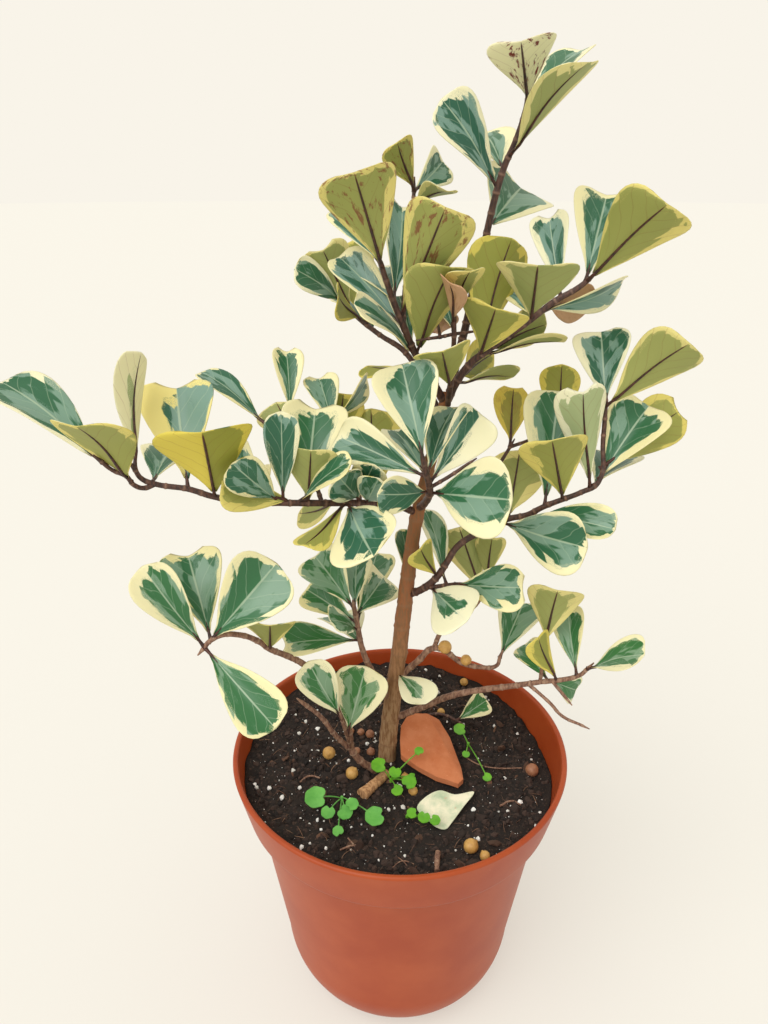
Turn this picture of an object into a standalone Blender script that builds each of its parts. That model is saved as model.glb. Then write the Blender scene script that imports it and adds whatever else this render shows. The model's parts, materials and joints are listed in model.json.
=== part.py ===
"""Potted triangle fig: a variegated shrub in a round pot of soil.

Metres, +Z up. The origin lies under the middle of the pot, on the surface it stands on, and +Y is the
back. Stems and leaves are set by the places where a viewer in front sees them, with real sizes for the rest.
"""

import math
from typing import NamedTuple

import bmesh
import bpy
from mathutils import Matrix, Vector, noise
from mathutils.bvhtree import BVHTree

MM = 0.001

# Pot
POT_HEIGHT = 170 * MM
RIM_RADIUS = 100 * MM
RIM_ROLL = 1.5 * MM
COLLAR_BOTTOM_RADIUS = 94.3 * MM
COLLAR_DEPTH = 27.8 * MM
SHOULDER_RADIUS = 87.7 * MM
SHOULDER_DEPTH = 31.8 * MM
ROUNDING_RADIUS = 73.4 * MM
ROUNDING_HEIGHT = 37.5 * MM
FOOT_RADIUS = 50 * MM
FOOT_HEIGHT = 2.5 * MM
WALL = 2.2 * MM
FLOOR = 3 * MM
POT_SIDES = 30
ROUNDING_STEPS = 3
DRAIN_HOLES = 6
DRAIN_HOLE_RADIUS = 4 * MM
DRAIN_CIRCLE_RADIUS = 32 * MM

# Soil
SOIL_BELOW_RIM = 18 * MM
SOIL_TOP = POT_HEIGHT - SOIL_BELOW_RIM
SOIL_RINGS = 4
SOIL_BUMP = 1.2 * MM
SOIL_GRAIN = 24 * MM
# It falls to the right, and is heaped against the back of the pot
SOIL_FALL = 0.04
SOIL_HEAP = 8 * MM
HEAP_FROM = 20 * MM
HEAP_RUN = 70 * MM

# Everything that touches its neighbour keeps this gap to it
GAP = 0.3 * MM
ROOT_DEPTH = 30 * MM

# Viewer in front of the plant: eye, downward pitch, and the picture's own units
EYE = Vector((-9.4, -371.3, 487.8)) * MM
PITCH = math.radians(24)
VIEW_LENGTH = 769
VIEW_MIDDLE = (384, 512)
GROUND_STEPS = 8

# Leaf
PETIOLE_SHARE = 0.16
PETIOLE_RADIUS = 0.9 * MM
BLADE_THICKNESS = 0.8 * MM
FOLD = math.radians(24)
ARCH_SHARE = 0.06
LEAF_CLEARANCE = 0.35 * MM
OWN_CLEAR_FROM = 0.2
# Share of the blade's length at the rib and at the edge, and share of its half width
BLADE_SECTIONS = ((0.0, 0.0, 0.07), (0.4, 0.42, 0.6), (0.76, 0.76, 1.0), (0.99, 0.96, 0.62))
# How far a blade's tip may slide along its line of sight, and a blade turn, to lie clear of others
SLIDES = (0, -4, 4, -8, 8, -12, 12, -16, 16, -21, 21, -26, 26)
TURNS = (0, 14, -14, 28, -28)
TURN_COST = 0.5
FOOT_STEPS = 12
# Leaves on the back of a branch, away from the viewer
BACK_FROM = 0.3
BACK_SPREAD = 0.3
BACK_RISE = 0.4
BACK_LONG = 44 * MM
BACK_WIDE = 30 * MM

STEM_SIDES = 5
TRUNK_SIDES = 8
STALK_SIDES = 3
FIG_SIDES = 7
FIG_RINGS = 4
SEEDLING_SIDES = 6
DRAIN_HOLE_SIDES = 8

# What lies on the soil
FIG_SUNK = 1.2
SHARD_THICK = 4 * MM
SHARD_CROWN = 1.5 * MM
FALLEN_DIP = 0.6 * MM
SLAB_SWELL = 1.6
STUB_THICK = (5.2, 7)
STALK_RADIUS = 0.6 * MM
STALK_START = 1.3 * MM
STALK_STEP = 0.17 * MM
ROOT_RADIUS = 0.9 * MM
SEEDLING_ROOT = 6 * MM
SEEDLING_CROWN = 2.6 * MM
SEEDLING_RISE = 2.5 * MM
SEEDLING_LEAN = 0.25
DISH_SHARE = 0.15

WELD = 0.001 * MM
SMOOTH_ANGLE = math.radians(38)

LEAF_COLOUR = (0.27, 0.38, 0.17)
BARK_COLOUR = (0.30, 0.17, 0.09)
FIG_COLOUR = (0.50, 0.30, 0.10)
POT_COLOUR = (0.45, 0.09, 0.035)
SHARD_COLOUR = (0.52, 0.17, 0.06)
FALLEN_COLOUR = (0.75, 0.68, 0.42)
SEEDLING_COLOUR = (0.16, 0.42, 0.04)
SOIL_COLOUR = (0.03, 0.02, 0.015)

NEAR = -1
FAR = 1


class Stem(NamedTuple):
    """A stem seen from in front: places in the picture, each with its depth in mm (+ away)."""

    route: tuple
    thick: tuple


class Leaf(NamedTuple):
    """A leaf seen from in front.

    foot and tip are places in the picture, and long and wide are in mm. The blade leans NEAR or FAR.
    turn is how far its upper face is turned from the viewer, in degrees, + to the right of its tip.
    """

    foot: tuple
    tip: tuple
    turn: float = 0
    lean: int = FAR
    long: float = 50
    wide: float = 32


class Branch(NamedTuple):
    """A leafy stem: its stems, its leaves, how many more leaves it has on its back, and its figs.

    A fig is a place in the picture with its depth and its radius in mm.
    """

    name: str
    stems: tuple
    leaves: tuple
    back: int = 0
    meets: tuple = ("trunk",)
    fruits: tuple = ()


TRUNK = Branch(
    "trunk",
    (Stem(((387, 757, 6), (389, 730, 6), (394, 690, 5), (400, 645, 4), (405, 600, 2), (410, 560, 0),
           (416, 520, 0), (428, 470, 2), (441, 420, 5), (447, 392, 8)), (12, 5.2)),),
    (Leaf((412, 583), (401, 529), 45, NEAR, 32, 16),
     Leaf((396, 671), (426, 704), -30, NEAR, 36, 22)),
    meets=(),
)

LEADER = Branch(
    "leader",
    (Stem(((449, 398, 8), (457, 360, 12), (466, 325, 15), (474, 285, 16), (484, 245, 15), (497, 190, 13),
           (505, 165, 12), (516, 140, 10), (525, 112, 9), (528, 98, 8)), (4.4, 2.2)),),
    (Leaf((528, 101), (521, 41), 180, NEAR, 34, 29),
     Leaf((529, 108), (582, 50), -60, FAR, 42, 26),
     Leaf((513, 158), (588, 62), -122, NEAR, 56, 26),
     Leaf((494, 186), (441, 99), 40, NEAR, 46, 28),
     Leaf((489, 228), (521, 188), -8, FAR, 48, 40)),
    back=1,
)

UPPER_LEFT = Branch(
    "upper_left",
    (Stem(((445, 404, 7), (430, 377, 2), (417, 357, -2), (403, 325, -7), (393, 300, -10), (386, 280, -13),
           (381, 264, -15)), (4.2, 2.4)),
     Stem(((403, 325, -7), (405, 290, 6), (410, 250, 16), (413, 212, 22), (414, 188, 24)), (2.6, 1.8))),
    (Leaf((401, 318), (446, 207), 180, NEAR, 58, 34),
     Leaf((382, 268), (354, 172), 180, NEAR, 50, 34),
     Leaf((378, 266), (343, 211), 25, FAR, 44, 22),
     Leaf((401, 328), (338, 256), 20, FAR, 50, 22),
     Leaf((413, 355), (354, 305), 66, NEAR, 46, 22),
     Leaf((420, 352), (452, 267), -162, NEAR, 50, 36),
     Leaf((396, 302), (402, 202), 20, FAR, 50, 26),
     Leaf((414, 345), (399, 296), 10, FAR, 36, 20),
     Leaf((414, 187), (397, 142), -160, NEAR, 26, 18),
     Leaf((414, 192), (443, 161), 15, FAR, 30, 20),
     Leaf((411, 203), (447, 191), -120, NEAR, 26, 18)),
    back=1,
)

BACK_LEFT = Branch(
    "back_left",
    (Stem(((442, 416, 6), (425, 385, 17), (405, 352, 26), (380, 335, 32), (358, 318, 38), (343, 302, 42)),
          (3.6, 2)),),
    (Leaf((344, 303), (294, 269), 36, NEAR, 36, 20),
     Leaf((352, 311), (321, 246), 180, NEAR, 40, 28),
     Leaf((366, 325), (344, 238), 180, FAR, 48, 28),
     Leaf((360, 318), (338, 296), -130, NEAR, 28, 20),
     Leaf((412, 368), (366, 366), -105, FAR, 34, 22)),
    back=1,
    meets=("trunk", "upper_left"),
)

UPPER_RIGHT = Branch(
    "upper_right",
    (Stem(((448, 400, 7), (456, 383, 4), (470, 364, 1), (485, 352, -2), (505, 338, -5), (529, 321, -8),
           (555, 301, -9), (578, 288, -10), (588, 280, -11)), (4.2, 2.4)),),
    (Leaf((587, 281), (668, 204), -160, NEAR, 54, 34),
     Leaf((586, 282), (607, 194), 0, FAR, 48, 32),
     Leaf((531, 320), (538, 265), 180, NEAR, 42, 36),
     Leaf((560, 298), (549, 214), -6, FAR, 44, 20),
     Leaf((540, 315), (623, 281), 62, FAR, 44, 24),
     Leaf((548, 308), (591, 307), -150, FAR, 34, 22),
     Leaf((480, 356), (496, 308), 180, NEAR, 40, 32),
     Leaf((479, 357), (512, 238), -152, FAR, 58, 34),
     Leaf((485, 352), (547, 324), -140, FAR, 36, 24),
     Leaf((482, 354), (565, 342), -94, FAR, 42, 22),
     Leaf((460, 378), (494, 353), -160, FAR, 40, 22),
     Leaf((456, 383), (514, 377), -110, FAR, 42, 20)),
    back=1,
    meets=("trunk", "leader"),
)

MIDDLE_SHOOT = Branch(
    "middle_shoot",
    (Stem(((448, 405, 3), (452, 372, -5), (454, 340, -9), (454, 302, -10)), (3, 2)),
     Stem(((454, 334, -9), (440, 337, -11), (426, 339, -13)), (1.8, 1.4)),
     Stem(((454, 334, -9), (462, 333, -7), (470, 332, -5)), (1.8, 1.4))),
    (Leaf((450, 386), (442, 351), 180, NEAR, 36, 28),
     Leaf((456, 313), (470, 271), -150, NEAR, 28, 18),
     Leaf((453, 322), (449, 282), 120, NEAR, 26, 16),
     Leaf((453, 332), (440, 295), 20, FAR, 32, 18),
     Leaf((440, 337), (436, 309), -175, FAR, 26, 22)),
    meets=("trunk", "leader", "upper_left", "upper_right"),
)

FRONT_ROSETTE = Branch(
    "front_rosette",
    (Stem(((419, 508, 0), (427, 500, -16), (430, 490, -27), (427, 476, -34), (423, 459, -38)), (4.2, 2.6)),
     Stem(((431, 487, -29), (450, 476, -31), (468, 464, -30)), (2, 1.6))),
    (Leaf((423, 459), (402, 364), 0, FAR, 48, 34),
     Leaf((430, 484), (481, 414), 12, FAR, 44, 27),
     Leaf((424, 478), (337, 436), 10, FAR, 50, 26),
     Leaf((424, 476), (393, 430), 40, FAR, 40, 20),
     Leaf((427, 474), (455, 407), -22, FAR, 42, 24),
     Leaf((431, 492), (377, 494), -20, NEAR, 36, 20),
     Leaf((433, 494), (513, 500), 0, NEAR, 52, 38)),
)

LEFT_LONG = Branch(
    "left_long",
    (Stem(((415, 512, 0), (395, 505, -9), (360, 503, -18), (330, 503, -24), (297, 503, -30), (255, 502, -36),
           (215, 497, -42), (188, 489, -45), (155, 484, -48), (142, 479, -50), (134, 468, -53)), (4, 2.2)),
     Stem(((155, 484, -48), (145, 488, -51), (134, 485, -55), (126, 476, -58), (112, 470, -60),
           (102, 462, -62)), (2.4, 1.8)),
     Stem(((360, 503, -18), (359, 488, -20), (357, 472, -21)), (2.2, 1.8)),
     Stem(((322, 503, -25), (314, 478, -14), (305, 450, -4), (289, 412, 4)), (2.4, 1.8)),
     Stem(((305, 450, -4), (286, 436, 0), (266, 424, 2)), (2, 1.6)),
     Stem(((346, 503, -21), (342, 470, -8), (336, 440, 0), (332, 420, 4)), (2.4, 1.8))),
    (Leaf((102, 462), (1, 382), 44, FAR, 57, 34),
     Leaf((133, 481), (76, 426), 125, NEAR, 44, 38),
     Leaf((134, 469), (141, 352), -122, FAR, 52, 26),
     Leaf((188, 489), (176, 383), -6, FAR, 54, 38),
     Leaf((216, 497), (202, 432), 178, NEAR, 46, 44),
     Leaf((266, 424), (201, 372), 50, FAR, 46, 20),
     Leaf((292, 503), (222, 479), -150, NEAR, 42, 26),
     Leaf((290, 413), (286, 348), 10, FAR, 36, 18),
     Leaf((303, 446), (276, 402), -160, FAR, 38, 28),
     Leaf((304, 503), (316, 404), 0, FAR, 52, 36),
     Leaf((284, 503), (281, 411), 0, NEAR, 46, 18),
     Leaf((308, 503), (311, 450), 180, NEAR, 32, 26),
     Leaf((298, 503), (352, 460), -50, NEAR, 38, 17),
     Leaf((280, 502), (232, 463), -10, NEAR, 38, 20),
     Leaf((266, 502), (222, 450), 0, FAR, 44, 26),
     Leaf((334, 428), (318, 376), 10, FAR, 32, 20),
     Leaf((337, 444), (344, 390), 180, FAR, 34, 26),
     Leaf((333, 424), (367, 378), 60, FAR, 34, 18),
     Leaf((359, 490), (374, 464), 10, NEAR, 28, 18),
     Leaf((360, 500), (338, 476), 0, NEAR, 30, 20),
     Leaf((366, 503), (379, 478), 0, NEAR, 28, 18),
     Leaf((374, 504), (371, 407), -176, FAR, 54, 34),
     Leaf((348, 503), (374, 557), 0, NEAR, 46, 37),
     Leaf((346, 503), (303, 546), -140, NEAR, 40, 18),
     Leaf((338, 503), (298, 514), -140, FAR, 38, 18)),
    back=2,
)

RIGHT_MIDDLE = Branch(
    "right_middle",
    (Stem(((410, 594, 1), (424, 588, -6), (437, 577, -9), (447, 562, -8), (457, 547, -6), (480, 532, -6),
           (508, 519, -8), (527, 515, -10), (543, 507, -12), (561, 500, -14), (582, 492, -16),
           (598, 483, -17), (603, 440, -10), (606, 403, -6)), (4.2, 2.2)),
     Stem(((424, 588, -6), (440, 586, -12), (456, 584, -16)), (2.6, 2)),
     Stem(((480, 532, -6), (488, 500, 4), (498, 468, 10), (510, 447, 13)), (2.4, 1.8)),
     Stem(((510, 447, 13), (535, 438, 15), (562, 424, 12)), (2, 1.6))),
    (Leaf((606, 403), (601, 331), 0, FAR, 40, 30),
     Leaf((606, 402), (690, 343), -150, NEAR, 50, 32),
     Leaf((600, 480), (650, 405), -12, FAR, 46, 34),
     Leaf((602, 470), (684, 408), -168, FAR, 52, 30),
     Leaf((590, 488), (583, 386), -165, NEAR, 54, 28),
     Leaf((563, 500), (552, 440), 180, NEAR, 42, 34),
     Leaf((544, 507), (559, 391), 0, FAR, 60, 36),
     Leaf((562, 424), (562, 364), -172, FAR, 36, 24),
     Leaf((510, 447), (514, 384), -172, FAR, 38, 22),
     Leaf((508, 519), (520, 449), 175, FAR, 46, 36),
     Leaf((528, 515), (617, 530), -24, NEAR, 48, 21),
     Leaf((502, 522), (588, 548), 14, NEAR, 54, 32),
     Leaf((446, 585), (424, 509), 48, FAR, 44, 20),
     Leaf((437, 577), (420, 548), -160, NEAR, 28, 18),
     Leaf((430, 587), (467, 622), 0, NEAR, 38, 31),
     Leaf((455, 584), (528, 588), 6, NEAR, 44, 26)),
    back=2,
)

LOWER_RIGHT = Branch(
    "lower_right",
    (Stem(((400, 676, 5), (418, 661, 0), (434, 648, -3), (447, 652, -6), (460, 662, -9), (480, 667, -12),
           (496, 666, -14), (500, 657, -15)), (4, 2)),
     Stem(((434, 648, -3), (441, 632, 1), (458, 618, 8), (473, 608, 12), (484, 592, 14), (488, 577, 15)),
          (2.8, 1.8))),
    (Leaf((500, 658), (525, 600), -4, FAR, 42, 30),
     Leaf((482, 594), (459, 527), 180, NEAR, 46, 32),
     Leaf((487, 582), (492, 538), -172, NEAR, 32, 18)),
    fruits=((445, 647, -6, 3.8), (466, 660, -10, 3.1)),
)

INNER_LEFT = Branch(
    "inner_left",
    (Stem(((394, 704, 5), (382, 688, 1), (370, 668, -3), (362, 648, -6), (358, 628, -8), (354, 607, -10)),
          (4.4, 2.6)),),
    (Leaf((353, 607), (315, 556), 4, FAR, 40, 30),
     Leaf((355, 609), (357, 559), -4, FAR, 34, 20),
     Leaf((357, 616), (384, 576), 8, FAR, 36, 28),
     Leaf((358, 622), (377, 553), -4, FAR, 46, 26),
     Leaf((357, 622), (306, 589), 8, FAR, 36, 22),
     Leaf((359, 629), (329, 620), 50, NEAR, 28, 20),
     Leaf((361, 640), (280, 645), 30, NEAR, 46, 23)),
    back=1,
)

LOW_LEFT = Branch(
    "low_left",
    (Stem(((374, 771, -6), (362, 762, -8), (352, 750, -10), (349, 732, -10), (343, 712, -11), (333, 692, -14),
           (317, 674, -19), (300, 662, -25), (285, 655, -31), (270, 649, -37), (258, 641, -42),
           (240, 635, -47), (222, 635, -50), (210, 641, -53), (204, 648, -54)), (4.6, 2.4)),
     Stem(((352, 750, -10), (336, 736, -13), (320, 716, -14), (303, 703, -15)), (3.4, 2.4)),
     Stem(((352, 750, -10), (347, 736, -18), (341, 717, -25)), (2.4, 1.8))),
    (Leaf((204, 648), (142, 566), -10, NEAR, 52, 25),
     Leaf((211, 640), (187, 551), 0, FAR, 48, 34),
     Leaf((208, 642), (277, 563), 0, NEAR, 52, 38),
     Leaf((270, 649), (270, 625), 180, NEAR, 32, 26),
     Leaf((205, 648), (276, 729), 0, NEAR, 54, 28),
     Leaf((341, 717), (308, 661), -10, NEAR, 38, 24),
     Leaf((347, 736), (366, 666), 0, NEAR, 44, 33)),
    meets=(),
)

LOW_RIGHT = Branch(
    "low_right",
    (Stem(((397, 717, 5), (425, 706, -1), (450, 696, -7), (480, 690, -14), (512, 686, -21), (540, 682, -27),
           (560, 680, -31), (580, 675, -35), (588, 668, -37)), (4.2, 2)),
     Stem(((540, 682, -27), (543, 660, -26), (545, 640, -25)), (2.2, 1.8)),
     Stem(((528, 684, -25), (550, 703, -30), (562, 716, -33), (581, 725, -36)), (2, 1.6)),
     Stem(((552, 681, -30), (566, 698, -35)), (2, 1.6))),
    (Leaf((545, 641), (558, 590), -172, NEAR, 38, 30),
     Leaf((577, 676), (568, 607), -14, FAR, 38, 20),
     Leaf((588, 668), (645, 655), -50, NEAR, 36, 26),
     Leaf((556, 681), (538, 637), -150, NEAR, 32, 18),
     Leaf((548, 682), (525, 644), 0, FAR, 34, 18),
     Leaf((551, 682), (576, 690), 8, FAR, 24, 17)),
)

SOIL_SHOOT = Branch(
    "soil_shoot",
    (Stem(((427, 717, 43), (437, 714, 41), (447, 716, 38), (457, 721, 34)), (2.6, 1.8)),),
    (Leaf((457, 721), (487, 700), 0, FAR, 25, 18),),
    meets=(),
)

BRANCHES = (TRUNK, LEADER, UPPER_LEFT, BACK_LEFT, UPPER_RIGHT, MIDDLE_SHOOT, FRONT_ROSETTE, LEFT_LONG,
            RIGHT_MIDDLE, LOWER_RIGHT, INNER_LEFT, LOW_LEFT, LOW_RIGHT, SOIL_SHOOT)

# Places in the picture and radii in mm of the dried figs on the soil
FIGS = ((329, 753, 4), (352, 773, 3.8), (371, 752, 2.7), (361, 732, 2.3), (370, 734, 2.8), (471, 846, 4),
        (485, 856, 2.8), (464, 682, 2.8), (441, 712, 2.6), (532, 770, 4))

# Places in the picture, with heights over the soil in mm
SHARD_OUTLINE = ((401, 728, 14), (409, 717, 15), (425, 719, 12), (439, 722, 9), (450, 740, 6), (461, 772, 2),
                 (463, 785, 1), (458, 789, 1), (436, 780, 3), (415, 767, 6), (401, 757, 9), (400, 742, 12))
FALLEN_OUTLINE = ((417, 808, 1), (425, 798, 2), (440, 791, 2.4), (455, 794, 2.2), (474, 792, 4),
                  (463, 808, 2.2), (452, 822, 0.8), (445, 829, 0), (435, 827, 0), (428, 820, 0.3))
STUB_ROUTE = ((387, 773, 2), (376, 783, 1.5), (362, 795, 1.5))


class Seedling(NamedTuple):
    """A weed in the soil: where it stands, and its leaves as places with heights and radii in mm."""

    name: str
    foot: tuple
    leaves: tuple


SEEDLINGS = (
    Seedling("seedling_left", (342, 800), ((316, 797, 9, 6), (328, 812, 7, 3.6), (345, 812, 8, 4),
                                           (352, 804, 12, 3.4), (338, 831, 5, 2.8), (375, 816, 8, 5.2))),
    Seedling("seedling_middle", (391, 782), ((379, 765, 10, 4.4), (395, 772, 12, 3.4), (397, 790, 6, 3.2),
                                             (409, 782, 9, 4))),
    Seedling("seedling_front", (407, 819), ((412, 813, 8, 2.8), (424, 817, 8, 3.2), (435, 820, 7, 2.8))),
    Seedling("seedling_right", (468, 746), ((460, 729, 8, 3.8), (466, 754, 6, 2.2), (487, 777, 4, 2.6))),
)


def sight_line(place):
    """Direction in which the viewer sees a place in the picture, one unit deep along the view."""
    across = (place[0] - VIEW_MIDDLE[0]) / VIEW_LENGTH
    up = (VIEW_MIDDLE[1] - place[1]) / VIEW_LENGTH
    forward = Vector((0, math.cos(PITCH), -math.sin(PITCH)))
    upward = Vector((0, math.sin(PITCH), math.cos(PITCH)))
    return Vector((across, 0, 0)) + upward * up + forward


def sight(x, y, depth):
    """The point seen at x, y in the picture, depth mm behind the pot's axis."""
    line = sight_line((x, y))
    return EYE + line * ((depth * MM - EYE.y) / line.y)


def soil_height(x, y):
    """How high the soil's rough top is at a place."""
    share = min(max((y - HEAP_FROM) / HEAP_RUN, 0), 1)
    heap = SOIL_HEAP * share * share * (3 - 2 * share)
    bump = SOIL_BUMP * noise.noise(Vector((x, y, 0)) / SOIL_GRAIN)
    return SOIL_TOP - SOIL_FALL * x + heap + bump


def ground(x, y, height=0):
    """The point seen at x, y in the picture, height mm over the soil."""
    line = sight_line((x, y))
    level = SOIL_TOP
    for _ in range(GROUND_STEPS):
        point = EYE + line * ((level + height * MM - EYE.z) / line.z)
        level = soil_height(point.x, point.y)
    return point


def picture(point):
    """The place in the picture where the viewer sees a point."""
    seen = Matrix.Rotation(PITCH, 3, "X") @ (point - EYE)
    scale = VIEW_LENGTH / seen.y
    return (VIEW_MIDDLE[0] + seen.x * scale, VIEW_MIDDLE[1] - seen.z * scale)


class Form(NamedTuple):
    """A closed form: its corners, and its faces with their corners counter-clockwise from outside."""

    points: list
    faces: list


class Blade(NamedTuple):
    """A leaf in space: where it leaves its stem, its tip, the way its upper face looks, and its width."""

    foot: Vector
    tip: Vector
    up: Vector
    wide: float


def joined(forms):
    """Several forms as one list of corners and faces, still apart."""
    points = []
    faces = []
    for form in forms:
        start = len(points)
        points += form.points
        faces += [tuple(start + corner for corner in face) for face in form.faces]
    return Form(points, faces)


def lengthened(route, more):
    """A route made longer at both ends."""
    first = route[0] + (route[0] - route[1]).normalized() * more
    last = route[-1] + (route[-1] - route[-2]).normalized() * more
    return [first, *route[1:-1], last]


def tube(route, radii, sides, swell=0):
    """A round stem along a route, with a radius at each point of it, or one swollen all over."""
    if swell:
        route = lengthened(route, swell)
        radii = [radius + swell for radius in radii]
    points = []
    normal = None
    for index, place in enumerate(route):
        before = route[max(index - 1, 0)]
        after = route[min(index + 1, len(route) - 1)]
        along = (after - before).normalized()
        normal = along.orthogonal() if normal is None else normal - along * normal.dot(along)
        normal.normalize()
        side = along.cross(normal)
        for turn in range(sides):
            angle = math.tau * turn / sides
            points.append(place + (normal * math.cos(angle) + side * math.sin(angle)) * radii[index])
    faces = [tuple(range(sides))[::-1]]
    for ring in range(len(route) - 1):
        for turn in range(sides):
            here = ring * sides + turn
            beside = ring * sides + (turn + 1) % sides
            faces.append((here, beside, beside + sides, here + sides))
    faces.append(tuple(range(len(points) - sides, len(points))))
    return Form(points, faces)


def turned(profile, sides):
    """A form turned about Z from (radius, height) points that start and end on the axis."""
    points = [Vector((0, 0, profile[0][1]))]
    for radius, height in profile[1:-1]:
        for turn in range(sides):
            angle = math.tau * turn / sides
            points.append(Vector((radius * math.cos(angle), radius * math.sin(angle), height)))
    points.append(Vector((0, 0, profile[-1][1])))
    faces = []
    last = 1 + sides * (len(profile) - 3)
    for turn in range(sides):
        beside = (turn + 1) % sides
        faces.append((0, 1 + beside, 1 + turn))
        faces.append((last + turn, last + beside, len(points) - 1))
        for ring in range(len(profile) - 3):
            here = 1 + ring * sides
            faces.append((here + turn, here + beside, here + sides + beside, here + sides + turn))
    return Form(points, faces)


def leaf_form(blade, swell=0, petiole=True):
    """A leaf folded along its rib and arched along it, as a loft of six-cornered sections."""
    along = (blade.tip - blade.foot).normalized()
    right = along.cross(blade.up)
    whole = (blade.tip - blade.foot).length
    length = whole * (1 - PETIOLE_SHARE)
    base = blade.foot + along * (whole * PETIOLE_SHARE)
    half_thick = BLADE_THICKNESS / 2 + swell
    sections = []
    if petiole:
        stalk = PETIOLE_RADIUS + swell
        flat = Vector((stalk * 0.87, 0, stalk / 2))
        sections.append((blade.foot, blade.foot, flat.x, flat.z, stalk, 0))
    for rib, edge, half in BLADE_SECTIONS:
        middle = base + along * (length * rib)
        rim = base + along * (length * edge)
        width = max(blade.wide / 2 * half, PETIOLE_RADIUS) + swell
        arch = ARCH_SHARE * length * math.sin(math.pi * rib)
        sections.append((middle + blade.up * arch, rim + blade.up * arch, width * math.cos(FOLD), half_thick,
                         half_thick, width * math.sin(FOLD)))
    points = []
    for middle, rim, width, edge_thick, rib_thick, rise in sections:
        left = rim - right * width + blade.up * rise
        far = rim + right * width + blade.up * rise
        points += [left + blade.up * edge_thick, middle + blade.up * rib_thick, far + blade.up * edge_thick,
                   far - blade.up * edge_thick, middle - blade.up * rib_thick, left - blade.up * edge_thick]
    faces = [(4, 1, 0), (5, 4, 0), (3, 2, 1), (4, 3, 1)]
    for ring in range(len(sections) - 1):
        for side in range(6):
            a = ring * 6 + side
            b = ring * 6 + (side + 1) % 6
            if side in (0, 3):
                faces += [(a, b, a + 6), (b, b + 6, a + 6)]
            else:
                faces += [(a, b, b + 6), (a, b + 6, a + 6)]
    end = len(points) - 6
    faces += [(end, end + 1, end + 4), (end, end + 4, end + 5), (end + 1, end + 2, end + 3),
              (end + 1, end + 3, end + 4)]
    return Form(points, faces)


def ball(centre, radius):
    """A round fruit."""
    profile = []
    for ring in range(FIG_RINGS + 1):
        angle = math.pi * ring / FIG_RINGS
        profile.append((radius * math.sin(angle), -radius * math.cos(angle)))
    form = turned(profile, FIG_SIDES)
    return Form([point + centre for point in form.points], form.faces)


def stem_route(branch, index):
    """A stem's route in space. A rooted branch's first stem goes on down into the soil."""
    route = [sight(*place) for place in branch.stems[index].route]
    if not branch.meets and index == 0:
        route.insert(0, route[0] - Vector((0, 0, ROOT_DEPTH)))
    return route


def stem_radii(stem, count):
    """A stem's radius at each point of its route, from its thick end to its thin one."""
    first, last = stem.thick
    return [(first + (last - first) * index / (count - 1)) / 2 * MM for index in range(count)]


def stem_forms(branch, swell=0):
    """The stems of a branch as tubes."""
    sides = TRUNK_SIDES if branch.name == "trunk" else STEM_SIDES
    forms = []
    for index, stem in enumerate(branch.stems):
        route = stem_route(branch, index)
        forms.append(tube(route, stem_radii(stem, len(route)), sides, swell))
    for x, y, depth, radius in branch.fruits:
        forms.append(ball(sight(x, y, depth), radius * MM + swell))
    return forms


def nearest_on_stems(branch, place):
    """The point on a branch's stems that the viewer sees nearest a place in the picture."""
    best = None
    for index in range(len(branch.stems)):
        route = stem_route(branch, index)
        for start, end in zip(route, route[1:]):
            for step in range(FOOT_STEPS):
                point = start.lerp(end, step / FOOT_STEPS)
                seen = picture(point)
                away = math.hypot(seen[0] - place[0], seen[1] - place[1])
                if best is None or away < best[0]:
                    best = (away, point)
    return best[1]


def tip_on_sight(foot, leaf):
    """Where a leaf's tip lies on its line of sight, at the leaf's own length from its foot."""
    line = sight_line(leaf.tip).normalized()
    reach = foot - EYE
    middle = reach.dot(line)
    short = reach.length_squared - middle * middle
    spare = max((leaf.long * MM) ** 2 - short, 0)
    return EYE + line * (middle + leaf.lean * math.sqrt(spare))


def facing(foot, tip, turn):
    """The way a leaf's upper face looks when it is turned from the viewer by an angle about its rib."""
    along = (tip - foot).normalized()
    to_viewer = EYE - foot
    front = (to_viewer - along * to_viewer.dot(along)).normalized()
    return Matrix.Rotation(math.radians(turn), 3, along) @ front


def back_leaves(branch):
    """Leaves on the side of a branch that the viewer doesn't see, turn about as on the side that shows."""
    route = stem_route(branch, 0)
    leaves = []
    for index in range(branch.back):
        share = BACK_FROM + (1 - BACK_FROM) * (index + 0.5) / branch.back
        place = share * (len(route) - 1)
        step = min(int(place), len(route) - 2)
        foot = route[step].lerp(route[step + 1], place - step)
        side = BACK_SPREAD if index % 2 else -BACK_SPREAD
        way = (foot - EYE).normalized() + Vector((side, 0, BACK_RISE))
        way.normalize()
        tip = foot + way * BACK_LONG
        up = Vector((0, 0, 1)) - way * way.z
        leaves.append((foot, tip, up.normalized()))
    return leaves


def leaf_choices(foot, tip, up, wide):
    """A leaf as seen, and then slid along its tip's line of sight and turned, the least change first."""
    changes = [(slide, turn) for slide in SLIDES for turn in TURNS]
    changes.sort(key=lambda change: abs(change[0]) + abs(change[1]) * TURN_COST)
    line = (tip - EYE).normalized()
    for slide, turn in changes:
        moved = tip + line * (slide * MM)
        along = (moved - foot).normalized()
        upright = (up - along * up.dot(along)).normalized()
        yield Blade(foot, moved, Matrix.Rotation(math.radians(turn), 3, along) @ upright, wide)


def tree_of(forms):
    """A search tree over forms, or None where there are none."""
    whole = joined(forms)
    return BVHTree.FromPolygons(whole.points, whole.faces) if whole.faces else None


def crosses(form, tree):
    """Whether a form crosses those in a search tree."""
    if tree is None:
        return False
    return bool(BVHTree.FromPolygons(form.points, form.faces).overlap(tree))


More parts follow.
